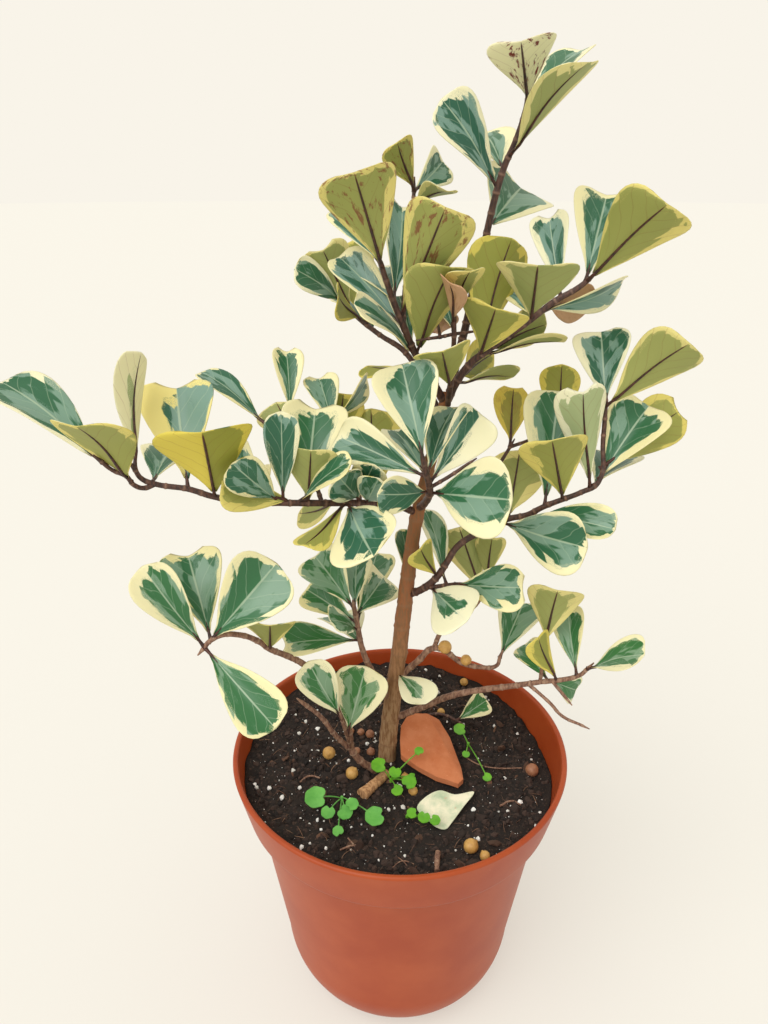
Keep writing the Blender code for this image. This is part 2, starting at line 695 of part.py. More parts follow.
def shortened(blade, share):
    """A blade's outer part alone, which has to lie clear of its own branch."""
    return Blade(blade.foot.lerp(blade.tip, share), blade.tip, blade.up, blade.wide)


def settled(branches):
    """Every branch's leaves, each bent clear of the stems and leaves that come before it."""
    leaves = {branch.name: [] for branch in branches}
    stems = {branch.name: stem_forms(branch) for branch in branches}
    for branch in branches:
        sights = []
        for leaf in branch.leaves:
            foot = nearest_on_stems(branch, leaf.foot)
            tip = tip_on_sight(foot, leaf)
            sights.append((foot, tip, facing(foot, tip, leaf.turn), leaf.wide * MM))
        sights += [(*found, BACK_WIDE) for found in back_leaves(branch)]
        for foot, tip, up, wide in sights:
            others = []
            for name in leaves:
                if name != branch.name:
                    others += stems[name] + [leaf_form(blade) for blade in leaves[name]]
            own = stems[branch.name] + [leaf_form(blade, 0, False) for blade in leaves[branch.name]]
            other_tree = tree_of(others)
            own_tree = tree_of(own)
            spare = None
            for blade in leaf_choices(foot, tip, up, wide):
                if crosses(leaf_form(blade, LEAF_CLEARANCE), other_tree):
                    continue
                spare = spare or blade
                if not crosses(leaf_form(shortened(blade, OWN_CLEAR_FROM), 0, False), own_tree):
                    spare = blade
                    break
            if spare is not None:
                leaves[branch.name].append(spare)
    return leaves


def slab(outline, thick, swell=0, dip=0):
    """A thin plate over an outline of points. Its middle lies lower than its rim by the dip."""
    count = len(outline)
    middle = sum(outline, Vector()) / count
    rim = [point + (point - middle).normalized() * (swell * SLAB_SWELL) for point in outline]
    low = middle - Vector((0, 0, dip))
    half = Vector((0, 0, thick / 2 + swell))
    points = [point + half for point in rim] + [low + half] + [point - half for point in rim] + [low - half]
    faces = []
    for index in range(count):
        beside = (index + 1) % count
        faces.append((count, index, beside))
        faces.append((2 * count + 1, count + 1 + beside, count + 1 + index))
        faces.append((index, count + 1 + index, count + 1 + beside))
        faces.append((index, count + 1 + beside, beside))
    return Form(points, faces)


def disc(centre, radius, lean):
    """A small round leaf, dished, leaning by an amount toward the viewer."""
    outline = []
    for turn in range(SEEDLING_SIDES):
        angle = math.tau * (turn + 0.5) / SEEDLING_SIDES
        x = radius * math.cos(angle)
        y = radius * math.sin(angle)
        outline.append(centre + Vector((x, y, y * lean)))
    return slab(outline, BLADE_THICKNESS, 0, radius * DISH_SHARE)


def counter_clockwise(outline):
    """An outline with its corners counter-clockwise from above."""
    area = 0
    for here, after in zip(outline, outline[1:] + outline[:1]):
        area += here.x * after.y - after.x * here.y
    return outline if area > 0 else outline[::-1]


def shard_form(swell=0):
    """The broken piece of a clay pot."""
    outline = [ground(x, y, height) for x, y, height in SHARD_OUTLINE]
    return slab(counter_clockwise(outline), SHARD_THICK, swell, -SHARD_CROWN)


def fallen_leaf_form(swell=0):
    """The pale leaf that lies on the soil."""
    outline = [ground(x, y, height) for x, y, height in FALLEN_OUTLINE]
    return slab(counter_clockwise(outline), BLADE_THICKNESS, swell, FALLEN_DIP)


def log_form(route, thick, swell=0):
    """A cut piece of wood along a route over the soil."""
    places = [ground(*place) for place in route]
    first, last = thick
    radii = [(first + (last - first) * index / (len(route) - 1)) / 2 * MM for index in range(len(route))]
    return tube(places, radii, TRUNK_SIDES, swell)


def seedling_root(seedling, swell=0):
    """A seedling's root, which reaches a little way out of the soil."""
    foot = ground(*seedling.foot)
    route = [foot - Vector((0, 0, SEEDLING_ROOT)), foot + Vector((0, 0, SEEDLING_CROWN))]
    return tube(route, [ROOT_RADIUS] * 2, STALK_SIDES + 1, swell)


def seedling_forms(seedling):
    """A seedling: its root, its stalks, and its round leaves."""
    forms = [seedling_root(seedling)]
    foot = ground(*seedling.foot)
    for index, (x, y, height, size) in enumerate(seedling.leaves):
        centre = ground(x, y, height)
        start = foot + Vector((0, 0, STALK_START + STALK_STEP * index))
        crest = start.lerp(centre, 0.5) + Vector((0, 0, SEEDLING_RISE))
        end = centre - Vector((0, 0, DISH_SHARE * size * MM))
        forms.append(tube([start, crest, end], [STALK_RADIUS] * 3, STALK_SIDES))
        forms.append(disc(centre, size * MM, SEEDLING_LEAN))
    return forms


def pot_outside():
    """The pot's outer profile from its foot to its collar."""
    profile = [(FOOT_RADIUS, 0), (FOOT_RADIUS, FOOT_HEIGHT)]
    for step in range(1, ROUNDING_STEPS + 1):
        angle = math.pi / 2 * step / ROUNDING_STEPS
        profile.append((FOOT_RADIUS + (ROUNDING_RADIUS - FOOT_RADIUS) * math.sin(angle),
                        FOOT_HEIGHT + (ROUNDING_HEIGHT - FOOT_HEIGHT) * (1 - math.cos(angle))))
    profile.append((SHOULDER_RADIUS, POT_HEIGHT - SHOULDER_DEPTH))
    profile.append((COLLAR_BOTTOM_RADIUS, POT_HEIGHT - COLLAR_DEPTH))
    return profile


def pot_inside(inset=0):
    """The pot's inner profile from its floor to its lip, or one set in from it by a gap."""
    profile = [(FOOT_RADIUS - WALL - inset, FLOOR + inset)]
    for index, (radius, height) in enumerate(pot_outside()[2:]):
        lift = WALL * max(1 - (index + 1) / ROUNDING_STEPS, 0.4)
        profile.append((radius - WALL - inset, height + lift + inset))
    profile.append((RIM_RADIUS - RIM_ROLL - WALL - inset, POT_HEIGHT - RIM_ROLL * 2))
    return profile


def remove_all():
    """Start from an empty scene."""
    for thing in list(bpy.data.objects):
        bpy.data.objects.remove(thing, do_unlink=True)


def finish(name, colour, roughness):
    """A plain finish."""
    material = bpy.data.materials.new(name)
    material.use_nodes = True
    shader = material.node_tree.nodes["Principled BSDF"]
    shader.inputs["Base Color"].default_value = (*colour, 1)
    shader.inputs["Roughness"].default_value = roughness
    return material


def placed(name, form, material=None):
    """An object made of one form."""
    mesh = bpy.data.meshes.new(name)
    mesh.from_pydata([tuple(point) for point in form.points], [], form.faces)
    if material is not None:
        mesh.materials.append(material)
    made = bpy.data.objects.new(name, mesh)
    bpy.context.scene.collection.objects.link(made)
    return made


def carved(body, forms, operation):
    """Join forms to a body, or cut them from it, in one Boolean on a collection."""
    tools = bpy.data.collections.new(body.name + "_tools")
    bpy.context.scene.collection.children.link(tools)
    for index, form in enumerate(forms):
        tool = placed(f"{body.name}_tool_{index}", form)
        bpy.context.scene.collection.objects.unlink(tool)
        tools.objects.link(tool)
        tool.hide_render = True
        tool.display_type = "WIRE"
    cut = body.modifiers.new("Carve", "BOOLEAN")
    cut.operation = operation
    cut.solver = "EXACT"
    cut.operand_type = "COLLECTION"
    cut.collection = tools
    bpy.context.view_layer.update()
    bpy.context.view_layer.objects.active = body
    bpy.ops.object.modifier_apply(modifier=cut.name)
    for tool in list(tools.objects):
        bpy.data.objects.remove(tool, do_unlink=True)
    bpy.data.collections.remove(tools)


def islands(shape):
    """The separate bodies of a mesh, as lists of faces, the one with the most faces first."""
    left = set(shape.faces)
    found = []
    while left:
        edge = [left.pop()]
        island = list(edge)
        while edge:
            face = edge.pop()
            for side in face.edges:
                for other in side.link_faces:
                    if other in left:
                        left.remove(other)
                        edge.append(other)
                        island.append(other)
        found.append(island)
    return sorted(found, key=len, reverse=True)


def cleaned(body):
    """Weld a body, and keep its main part alone: a loose scrap is dropped and a sealed hollow filled."""
    shape = bmesh.new()
    shape.from_mesh(body.data)
    bmesh.ops.remove_doubles(shape, verts=shape.verts, dist=WELD)
    bmesh.ops.dissolve_degenerate(shape, dist=WELD, edges=shape.edges)
    for island in islands(shape)[1:]:
        bmesh.ops.delete(shape, geom=island, context="FACES")
    loose = [corner for corner in shape.verts if not corner.link_faces]
    bmesh.ops.delete(shape, geom=loose, context="VERTS")
    bmesh.ops.triangulate(shape, faces=shape.faces)
    shape.to_mesh(body.data)
    shape.free()


def smooth(body, angle=SMOOTH_ANGLE):
    """Shade a body smooth between its sharp edges."""
    body.data.shade_smooth()
    body.data.set_sharp_from_angle(angle=angle)


def make_branch(branch, blades, material):
    """A leafy stem as one body, with room for the stems it meets."""
    forms = stem_forms(branch) + [leaf_form(blade) for blade in blades]
    body = placed(branch.name, forms[0], material)
    carved(body, forms[1:], "UNION")
    cleaned(body)
    rooms = []
    for other in BRANCHES:
        if other.name in branch.meets:
            rooms += stem_forms(other, GAP)
    if rooms:
        carved(body, rooms, "DIFFERENCE")
        cleaned(body)
    smooth(body)
    return body


def make_pot(material):
    """The plastic pot: a thin spun wall with a collar, a rolled lip, and drain holes in its floor."""
    lip = POT_HEIGHT - RIM_ROLL
    rim = [(RIM_RADIUS - RIM_ROLL, lip - RIM_ROLL), (RIM_RADIUS, lip),
           (RIM_RADIUS - RIM_ROLL / 2, POT_HEIGHT), (RIM_RADIUS - RIM_ROLL * 2, POT_HEIGHT)]
    profile = [(0, 0)] + pot_outside() + rim + pot_inside()[::-1] + [(0, FLOOR)]
    shape = bmesh.new()
    corners = [shape.verts.new((radius, 0, height)) for radius, height in profile]
    lines = [shape.edges.new(pair) for pair in zip(corners, corners[1:])]
    bmesh.ops.spin(shape, geom=corners + lines, cent=(0, 0, 0), axis=(0, 0, 1), angle=math.tau,
                   steps=POT_SIDES, use_merge=True)
    bmesh.ops.remove_doubles(shape, verts=shape.verts, dist=WELD)
    bmesh.ops.recalc_face_normals(shape, faces=shape.faces)
    mesh = bpy.data.meshes.new("pot")
    shape.to_mesh(mesh)
    shape.free()
    mesh.materials.append(material)
    pot = bpy.data.objects.new("pot", mesh)
    bpy.context.scene.collection.objects.link(pot)
    holes = []
    for index in range(DRAIN_HOLES):
        angle = math.tau * (index + 0.5) / DRAIN_HOLES
        place = Vector((math.cos(angle), math.sin(angle), 0)) * DRAIN_CIRCLE_RADIUS
        low = place - Vector((0, 0, FLOOR))
        high = place + Vector((0, 0, FLOOR * 2))
        holes.append(tube([low, high], [DRAIN_HOLE_RADIUS] * 2, DRAIN_HOLE_SIDES))
    carved(pot, holes, "DIFFERENCE")
    cleaned(pot)
    smooth(pot)
    return pot


def make_soil(rooms, material):
    """The soil, filling the pot, with a rough top and plain holes for what stands and lies in it."""
    wall = pot_inside(GAP)
    (low_radius, low), (high_radius, high) = wall[-2:]
    flare = (high_radius - low_radius) / (high - low)
    rim = low_radius + flare * (SOIL_TOP - low)
    profile = [(0, FLOOR + GAP)] + wall[:-1] + [(rim, SOIL_TOP)]
    for ring in range(SOIL_RINGS - 1, 0, -1):
        profile.append((rim * ring / SOIL_RINGS, SOIL_TOP))
    profile.append((0, SOIL_TOP))
    form = turned(profile, POT_SIDES)
    points = []
    for point in form.points:
        if point.z > SOIL_TOP - WELD:
            height = soil_height(point.x, point.y)
            on_wall = math.hypot(point.x, point.y) > rim - WELD
            share = (rim + flare * (height - SOIL_TOP)) / rim if on_wall else 1
            point = Vector((point.x * share, point.y * share, height))
        points.append(point)
    soil = placed("soil", Form(points, form.faces), material)
    carved(soil, rooms, "DIFFERENCE")
    cleaned(soil)
    smooth(soil)
    return soil


def make(name, forms, material):
    """A small body made of forms that run into each other."""
    body = placed(name, forms[0], material)
    if len(forms) > 1:
        carved(body, forms[1:], "UNION")
    cleaned(body)
    smooth(body)
    return body


def main():
    """Build the plant, its pot, and what lies on its soil."""
    remove_all()
    leaf = finish("Variegated leaf", LEAF_COLOUR, 0.45)
    bark = finish("Bark", BARK_COLOUR, 0.8)
    fruit = finish("Dried fig", FIG_COLOUR, 0.7)
    make_pot(finish("Terracotta-coloured plastic", POT_COLOUR, 0.45))
    leaves = settled(BRANCHES)
    rooms = []
    for branch in BRANCHES:
        make_branch(branch, leaves[branch.name], leaf)
        if not branch.meets:
            rooms.append(stem_forms(branch, GAP)[0])
    for index, (x, y, size) in enumerate(FIGS):
        centre = ground(x, y, size - FIG_SUNK)
        make(f"fig_{index + 1}", [ball(centre, size * MM)], fruit)
        rooms.append(ball(centre, size * MM + GAP))
    make("shard", [shard_form()], finish("Terracotta", SHARD_COLOUR, 0.85))
    rooms.append(shard_form(GAP))
    make("fallen_leaf", [fallen_leaf_form()], finish("Pale fallen leaf", FALLEN_COLOUR, 0.5))
    rooms.append(fallen_leaf_form(GAP))
    make("pruned_stub", [log_form(STUB_ROUTE, STUB_THICK)], bark)
    rooms.append(log_form(STUB_ROUTE, STUB_THICK, GAP))
    green = finish("Seedling", SEEDLING_COLOUR, 0.5)
    for seedling in SEEDLINGS:
        make(seedling.name, seedling_forms(seedling), green)
        rooms.append(seedling_root(seedling, GAP))
    make_soil(rooms, finish("Potting soil", SOIL_COLOUR, 0.95))


if __name__ == "__main__":
    main()
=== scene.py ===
"""Looks of the potted triangle fig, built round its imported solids.

Metres, +Z up, +Y to the back. Stems and leaves are set by the same plan and the same rule as the solids
that they stand for, so each fine leaf lies where its solid leaf lies.
"""

import json
import logging
import math
import random
from dataclasses import dataclass, field
from enum import Enum
from typing import Iterator, NamedTuple, Sequence

import bmesh
import bpy
from mathutils import Matrix, Vector, noise
from mathutils.bvhtree import BVHTree

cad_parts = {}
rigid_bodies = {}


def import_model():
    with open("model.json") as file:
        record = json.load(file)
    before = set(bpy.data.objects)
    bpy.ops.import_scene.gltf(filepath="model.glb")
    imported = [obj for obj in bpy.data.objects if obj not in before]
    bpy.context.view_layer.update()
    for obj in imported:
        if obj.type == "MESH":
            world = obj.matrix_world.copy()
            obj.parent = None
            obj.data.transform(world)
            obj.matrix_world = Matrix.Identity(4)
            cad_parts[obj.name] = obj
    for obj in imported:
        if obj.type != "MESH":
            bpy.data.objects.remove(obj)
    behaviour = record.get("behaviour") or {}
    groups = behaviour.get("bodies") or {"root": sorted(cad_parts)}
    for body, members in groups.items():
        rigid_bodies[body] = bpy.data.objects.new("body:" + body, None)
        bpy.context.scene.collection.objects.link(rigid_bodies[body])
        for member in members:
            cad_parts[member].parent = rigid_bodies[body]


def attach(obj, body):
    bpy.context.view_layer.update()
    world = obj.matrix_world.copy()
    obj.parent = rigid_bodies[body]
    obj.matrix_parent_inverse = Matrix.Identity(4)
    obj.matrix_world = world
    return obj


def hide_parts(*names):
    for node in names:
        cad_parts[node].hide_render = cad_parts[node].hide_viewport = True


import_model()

logging.basicConfig(level=logging.INFO, format="%(message)s")
log = logging.getLogger("triangle_fig")

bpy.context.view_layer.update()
MM = 0.001
SEED = 11

MATH = "ShaderNodeMath"
VECTOR = "ShaderNodeVectorMath"
MIX = "ShaderNodeMix"
RANGE = "ShaderNodeMapRange"
NOISE = "ShaderNodeTexNoise"
STORED = "GeometryNodeInputNamedAttribute"
STORE = "GeometryNodeStoreNamedAttribute"

Place = tuple[float, ...]


class Lean(Enum):
    """Which way a leaf's tip leans, from the viewer's side."""

    NEAR = -1
    FAR = 1


NEAR = Lean.NEAR
FAR = Lean.FAR


class Look(Enum):
    """How a leaf is coloured."""

    USUAL = "green in a cream edge"
    CREAM_RED = "cream with red blotches"
    OLIVE_RED = "olive with red-brown blotches"
    SALMON = "young and salmon"
    CREAM = "mostly cream"
    CREAM_RIGHT = "right half mostly cream"
    PALE = "pale yellow"
    YELLOW_LEFT = "broad yellow edge on the left"
    YELLOW_RIGHT = "right half yellow"
    PALE_GREEN = "pale green"
    OCHRE = "ochre"


class Stem(NamedTuple):
    """A stem seen from in front: places in the picture, each with its depth in mm (+ away)."""

    route: tuple[Place, ...]
    thick: tuple[float, float]


class Leaf(NamedTuple):
    """A leaf seen from in front.

    foot and tip are places in the picture, long and wide are in mm. The blade leans NEAR or FAR.
    turn is how far its upper face is turned from the viewer, in degrees, + to the right of its tip.
    """

    foot: Place
    tip: Place
    turn: float = 0
    lean: Lean = FAR
    long: float = 50
    wide: float = 32
    look: Look = Look.USUAL


class Branch(NamedTuple):
    """A leafy stem: its stems, its leaves, how many more it has on its back, and its figs.

    A fig is a place in the picture with its depth and its radius in mm.
    """

    name: str
    stems: tuple[Stem, ...]
    leaves: tuple[Leaf, ...]
    back: int = 0
    meets: tuple[str, ...] = ("trunk",)
    fruits: tuple[Place, ...] = ()


class Weed(NamedTuple):
    """A seedling: where it stands, and its leaves as places with heights and radii in mm."""

    name: str
    foot: Place
    leaves: tuple[Place, ...]


TRUNK = Branch(
    "trunk",
    (Stem(((387, 757, 6), (389, 730, 6), (394, 690, 5), (400, 645, 4), (405, 600, 2), (410, 560, 0),
           (416, 520, 0), (428, 470, 2), (441, 420, 5), (447, 392, 8)), (12, 5.2)),),
    (Leaf((412, 583), (401, 529), 45, NEAR, 32, 16),
     Leaf((396, 671), (426, 704), -30, NEAR, 36, 22, Look.CREAM)),
    meets=(),
)

LEADER = Branch(
    "leader",
    (Stem(((449, 398, 8), (457, 360, 12), (466, 325, 15), (474, 285, 16), (484, 245, 15), (497, 190, 13),
           (505, 165, 12), (516, 140, 10), (525, 112, 9), (528, 98, 8)), (4.4, 2.2)),),
    (Leaf((528, 101), (521, 41), 180, NEAR, 34, 29, Look.CREAM_RED),
     Leaf((529, 108), (582, 50), -60, FAR, 42, 26),
     Leaf((513, 158), (588, 62), -122, NEAR, 56, 26),
     Leaf((494, 186), (441, 99), 40, NEAR, 46, 28),
     Leaf((489, 228), (521, 188), -8, FAR, 48, 40)),
    back=1,
)

UPPER_LEFT = Branch(
    "upper_left",
    (Stem(((445, 404, 7), (430, 377, 2), (417, 357, -2), (403, 325, -7), (393, 300, -10), (386, 280, -13),
           (381, 264, -15)), (4.2, 2.4)),
     Stem(((403, 325, -7), (405, 290, 6), (410, 250, 16), (413, 212, 22), (414, 188, 24)), (2.6, 1.8))),
    (Leaf((401, 318), (446, 207), 180, NEAR, 58, 34, Look.OLIVE_RED),
     Leaf((382, 268), (354, 172), 180, NEAR, 50, 34, Look.OLIVE_RED),
     Leaf((378, 266), (343, 211), 25, FAR, 44, 22),
     Leaf((401, 328), (338, 256), 20, FAR, 50, 22),
     Leaf((413, 355), (354, 305), 66, NEAR, 46, 22),
     Leaf((420, 352), (452, 267), -162, NEAR, 50, 36),
     Leaf((396, 302), (402, 202), 20, FAR, 50, 26),
     Leaf((414, 345), (399, 296), 10, FAR, 36, 20),
     Leaf((414, 187), (397, 142), -160, NEAR, 26, 18, Look.OLIVE_RED),
     Leaf((414, 192), (443, 161), 15, FAR, 30, 20),
     Leaf((411, 203), (447, 191), -120, NEAR, 26, 18)),
    back=1,
)

BACK_LEFT = Branch(
    "back_left",
    (Stem(((442, 416, 6), (425, 385, 17), (405, 352, 26), (380, 335, 32), (358, 318, 38), (343, 302, 42)),
          (3.6, 2)),),
    (Leaf((344, 303), (294, 269), 36, NEAR, 36, 20),
     Leaf((352, 311), (321, 246), 180, NEAR, 40, 28),
     Leaf((366, 325), (344, 238), 180, FAR, 48, 28),
     Leaf((360, 318), (338, 296), -130, NEAR, 28, 20),
     Leaf((412, 368), (366, 366), -105, FAR, 34, 22)),
    back=1,
    meets=("trunk", "upper_left"),
)

UPPER_RIGHT = Branch(
    "upper_right",
    (Stem(((448, 400, 7), (456, 383, 4), (470, 364, 1), (485, 352, -2), (505, 338, -5), (529, 321, -8),
           (555, 301, -9), (578, 288, -10), (588, 280, -11)), (4.2, 2.4)),),
    (Leaf((587, 281), (668, 204), -160, NEAR, 54, 34),
     Leaf((586, 282), (607, 194), 0, FAR, 48, 32),
     Leaf((531, 320), (538, 265), 180, NEAR, 42, 36),
     Leaf((560, 298), (549, 214), -6, FAR, 44, 20),
     Leaf((540, 315), (623, 281), 62, FAR, 44, 24),
     Leaf((548, 308), (591, 307), -150, FAR, 34, 22, Look.SALMON),
     Leaf((480, 356), (496, 308), 180, NEAR, 40, 32),
     Leaf((479, 357), (512, 238), -152, FAR, 58, 34),
     Leaf((485, 352), (547, 324), -140, FAR, 36, 24),
     Leaf((482, 354), (565, 342), -94, FAR, 42, 22),
     Leaf((460, 378), (494, 353), -160, FAR, 40, 22),
     Leaf((456, 383), (514, 377), -110, FAR, 42, 20)),
    back=1,
    meets=("trunk", "leader"),
)

MIDDLE_SHOOT = Branch(
    "middle_shoot",
    (Stem(((448, 405, 3), (452, 372, -5), (454, 340, -9), (454, 302, -10)), (3, 2)),
     Stem(((454, 334, -9), (440, 337, -11), (426, 339, -13)), (1.8, 1.4)),
     Stem(((454, 334, -9), (462, 333, -7), (470, 332, -5)), (1.8, 1.4))),
    (Leaf((450, 386), (442, 351), 180, NEAR, 36, 28),
     Leaf((456, 313), (470, 271), -150, NEAR, 28, 18),
     Leaf((453, 322), (449, 282), 120, NEAR, 26, 16, Look.SALMON),
     Leaf((453, 332), (440, 295), 20, FAR, 32, 18),
     Leaf((440, 337), (436, 309), -175, FAR, 26, 22, Look.SALMON)),
    meets=("trunk", "leader", "upper_left", "upper_right"),
)

FRONT_ROSETTE = Branch(
    "front_rosette",
    (Stem(((419, 508, 0), (427, 500, -16), (430, 490, -27), (427, 476, -34), (423, 459, -38)), (4.2, 2.6)),
     Stem(((431, 487, -29), (450, 476, -31), (468, 464, -30)), (2, 1.6))),
    (Leaf((423, 459), (402, 364), 0, FAR, 48, 34),
     Leaf((430, 484), (481, 414), 12, FAR, 44, 27, Look.CREAM_RIGHT),
     Leaf((424, 478), (337, 436), 10, FAR, 50, 26),
     Leaf((424, 476), (393, 430), 40, FAR, 40, 20),
     Leaf((427, 474), (455, 407), -22, FAR, 42, 24),
     Leaf((431, 492), (377, 494), -20, NEAR, 36, 20),
     Leaf((433, 494), (513, 500), 0, NEAR, 52, 38)),
)

LEFT_LONG = Branch(
    "left_long",
    (Stem(((415, 512, 0), (395, 505, -9), (360, 503, -18), (330, 503, -24), (297, 503, -30), (255, 502, -36),
           (215, 497, -42), (188, 489, -45), (155, 484, -48), (142, 479, -50), (134, 468, -53)), (4, 2.2)),
     Stem(((155, 484, -48), (145, 488, -51), (134, 485, -55), (126, 476, -58), (112, 470, -60),
           (102, 462, -62)), (2.4, 1.8)),
     Stem(((360, 503, -18), (359, 488, -20), (357, 472, -21)), (2.2, 1.8)),
     Stem(((322, 503, -25), (314, 478, -14), (305, 450, -4), (289, 412, 4)), (2.4, 1.8)),
     Stem(((305, 450, -4), (286, 436, 0), (266, 424, 2)), (2, 1.6)),
     Stem(((346, 503, -21), (342, 470, -8), (336, 440, 0), (332, 420, 4)), (2.4, 1.8))),
    (Leaf((102, 462), (1, 382), 44, FAR, 57, 34),
     Leaf((133, 481), (76, 426), 125, NEAR, 44, 38),
     Leaf((134, 469), (141, 352), -122, FAR, 52, 26, Look.PALE),
     Leaf((188, 489), (176, 383), -6, FAR, 54, 38, Look.YELLOW_LEFT),
     Leaf((216, 497), (202, 432), 178, NEAR, 46, 44, Look.YELLOW_RIGHT),
     Leaf((266, 424), (201, 372), 50, FAR, 46, 20),
     Leaf((292, 503), (222, 479), -150, NEAR, 42, 26),
     Leaf((290, 413), (286, 348), 10, FAR, 36, 18),
     Leaf((303, 446), (276, 402), -160, FAR, 38, 28),
     Leaf((304, 503), (316, 404), 0, FAR, 52, 36),
     Leaf((284, 503), (281, 411), 0, NEAR, 46, 18),
     Leaf((308, 503), (311, 450), 180, NEAR, 32, 26),
     Leaf((298, 503), (352, 460), -50, NEAR, 38, 17),
     Leaf((280, 502), (232, 463), -10, NEAR, 38, 20),
     Leaf((266, 502), (222, 450), 0, FAR, 44, 26),
     Leaf((334, 428), (318, 376), 10, FAR, 32, 20),
     Leaf((337, 444), (344, 390), 180, FAR, 34, 26),
     Leaf((333, 424), (367, 378), 60, FAR, 34, 18),
     Leaf((359, 490), (374, 464), 10, NEAR, 28, 18),
     Leaf((360, 500), (338, 476), 0, NEAR, 30, 20),
     Leaf((366, 503), (379, 478), 0, NEAR, 28, 18),
     Leaf((374, 504), (371, 407), -176, FAR, 54, 34),
     Leaf((348, 503), (374, 557), 0, NEAR, 46, 37),
     Leaf((346, 503), (303, 546), -140, NEAR, 40, 18),
     Leaf((338, 503), (298, 514), -140, FAR, 38, 18)),
    back=2,
)

RIGHT_MIDDLE = Branch(
    "right_middle",
    (Stem(((410, 594, 1), (424, 588, -6), (437, 577, -9), (447, 562, -8), (457, 547, -6), (480, 532, -6),
           (508, 519, -8), (527, 515, -10), (543, 507, -12), (561, 500, -14), (582, 492, -16),
           (598, 483, -17), (603, 440, -10), (606, 403, -6)), (4.2, 2.2)),
     Stem(((424, 588, -6), (440, 586, -12), (456, 584, -16)), (2.6, 2)),
     Stem(((480, 532, -6), (488, 500, 4), (498, 468, 10), (510, 447, 13)), (2.4, 1.8)),
     Stem(((510, 447, 13), (535, 438, 15), (562, 424, 12)), (2, 1.6))),
    (Leaf((606, 403), (601, 331), 0, FAR, 40, 30),
     Leaf((606, 402), (690, 343), -150, NEAR, 50, 32),
     Leaf((600, 480), (650, 405), -12, FAR, 46, 34),
     Leaf((602, 470), (684, 408), -168, FAR, 52, 30),
     Leaf((590, 488), (583, 386), -165, NEAR, 54, 28, Look.PALE_GREEN),
     Leaf((563, 500), (552, 440), 180, NEAR, 42, 34),
     Leaf((544, 507), (559, 391), 0, FAR, 60, 36),
     Leaf((562, 424), (562, 364), -172, FAR, 36, 24),
     Leaf((510, 447), (514, 384), -172, FAR, 38, 22, Look.OCHRE),
     Leaf((508, 519), (520, 449), 175, FAR, 46, 36),
     Leaf((528, 515), (617, 530), -24, NEAR, 48, 21),
     Leaf((502, 522), (588, 548), 14, NEAR, 54, 32),
     Leaf((446, 585), (424, 509), 48, FAR, 44, 20),
     Leaf((437, 577), (420, 548), -160, NEAR, 28, 18),
     Leaf((430, 587), (467, 622), 0, NEAR, 38, 31, Look.CREAM),
     Leaf((455, 584), (528, 588), 6, NEAR, 44, 26)),
    back=2,
)

LOWER_RIGHT = Branch(
    "lower_right",
    (Stem(((400, 676, 5), (418, 661, 0), (434, 648, -3), (447, 652, -6), (460, 662, -9), (480, 667, -12),
           (496, 666, -14), (500, 657, -15)), (4, 2)),
     Stem(((434, 648, -3), (441, 632, 1), (458, 618, 8), (473, 608, 12), (484, 592, 14), (488, 577, 15)),
          (2.8, 1.8))),
    (Leaf((500, 658), (525, 600), -4, FAR, 42, 30),
     Leaf((482, 594), (459, 527), 180, NEAR, 46, 32),
     Leaf((487, 582), (492, 538), -172, NEAR, 32, 18)),
    fruits=((445, 647, -6, 3.8), (466, 660, -10, 3.1)),
)

INNER_LEFT = Branch(
    "inner_left",
    (Stem(((394, 704, 5), (382, 688, 1), (370, 668, -3), (362, 648, -6), (358, 628, -8), (354, 607, -10)),
          (4.4, 2.6)),),
    (Leaf((353, 607), (315, 556), 4, FAR, 40, 30),
     Leaf((355, 609), (357, 559), -4, FAR, 34, 20),
     Leaf((357, 616), (384, 576), 8, FAR, 36, 28),
     Leaf((358, 622), (377, 553), -4, FAR, 46, 26),
     Leaf((357, 622), (306, 589), 8, FAR, 36, 22),
     Leaf((359, 629), (329, 620), 50, NEAR, 28, 20),
     Leaf((361, 640), (280, 645), 30, NEAR, 46, 23)),
    back=1,
)

LOW_LEFT = Branch(
    "low_left",
    (Stem(((374, 771, -6), (362, 762, -8), (352, 750, -10), (349, 732, -10), (343, 712, -11), (333, 692, -14),
           (317, 674, -19), (300, 662, -25), (285, 655, -31), (270, 649, -37), (258, 641, -42),
           (240, 635, -47), (222, 635, -50), (210, 641, -53), (204, 648, -54)), (4.6, 2.4)),
     Stem(((352, 750, -10), (336, 736, -13), (320, 716, -14), (303, 703, -15)), (3.4, 2.4)),
     Stem(((352, 750, -10), (347, 736, -18), (341, 717, -25)), (2.4, 1.8))),
    (Leaf((204, 648), (142, 566), -10, NEAR, 52, 25),
     Leaf((211, 640), (187, 551), 0, FAR, 48, 34),
     Leaf((208, 642), (277, 563), 0, NEAR, 52, 38),
     Leaf((270, 649), (270, 625), 180, NEAR, 32, 26),
     Leaf((205, 648), (276, 729), 0, NEAR, 54, 28),
     Leaf((341, 717), (308, 661), -10, NEAR, 38, 24),
     Leaf((347, 736), (366, 666), 0, NEAR, 44, 33)),
    meets=(),
)

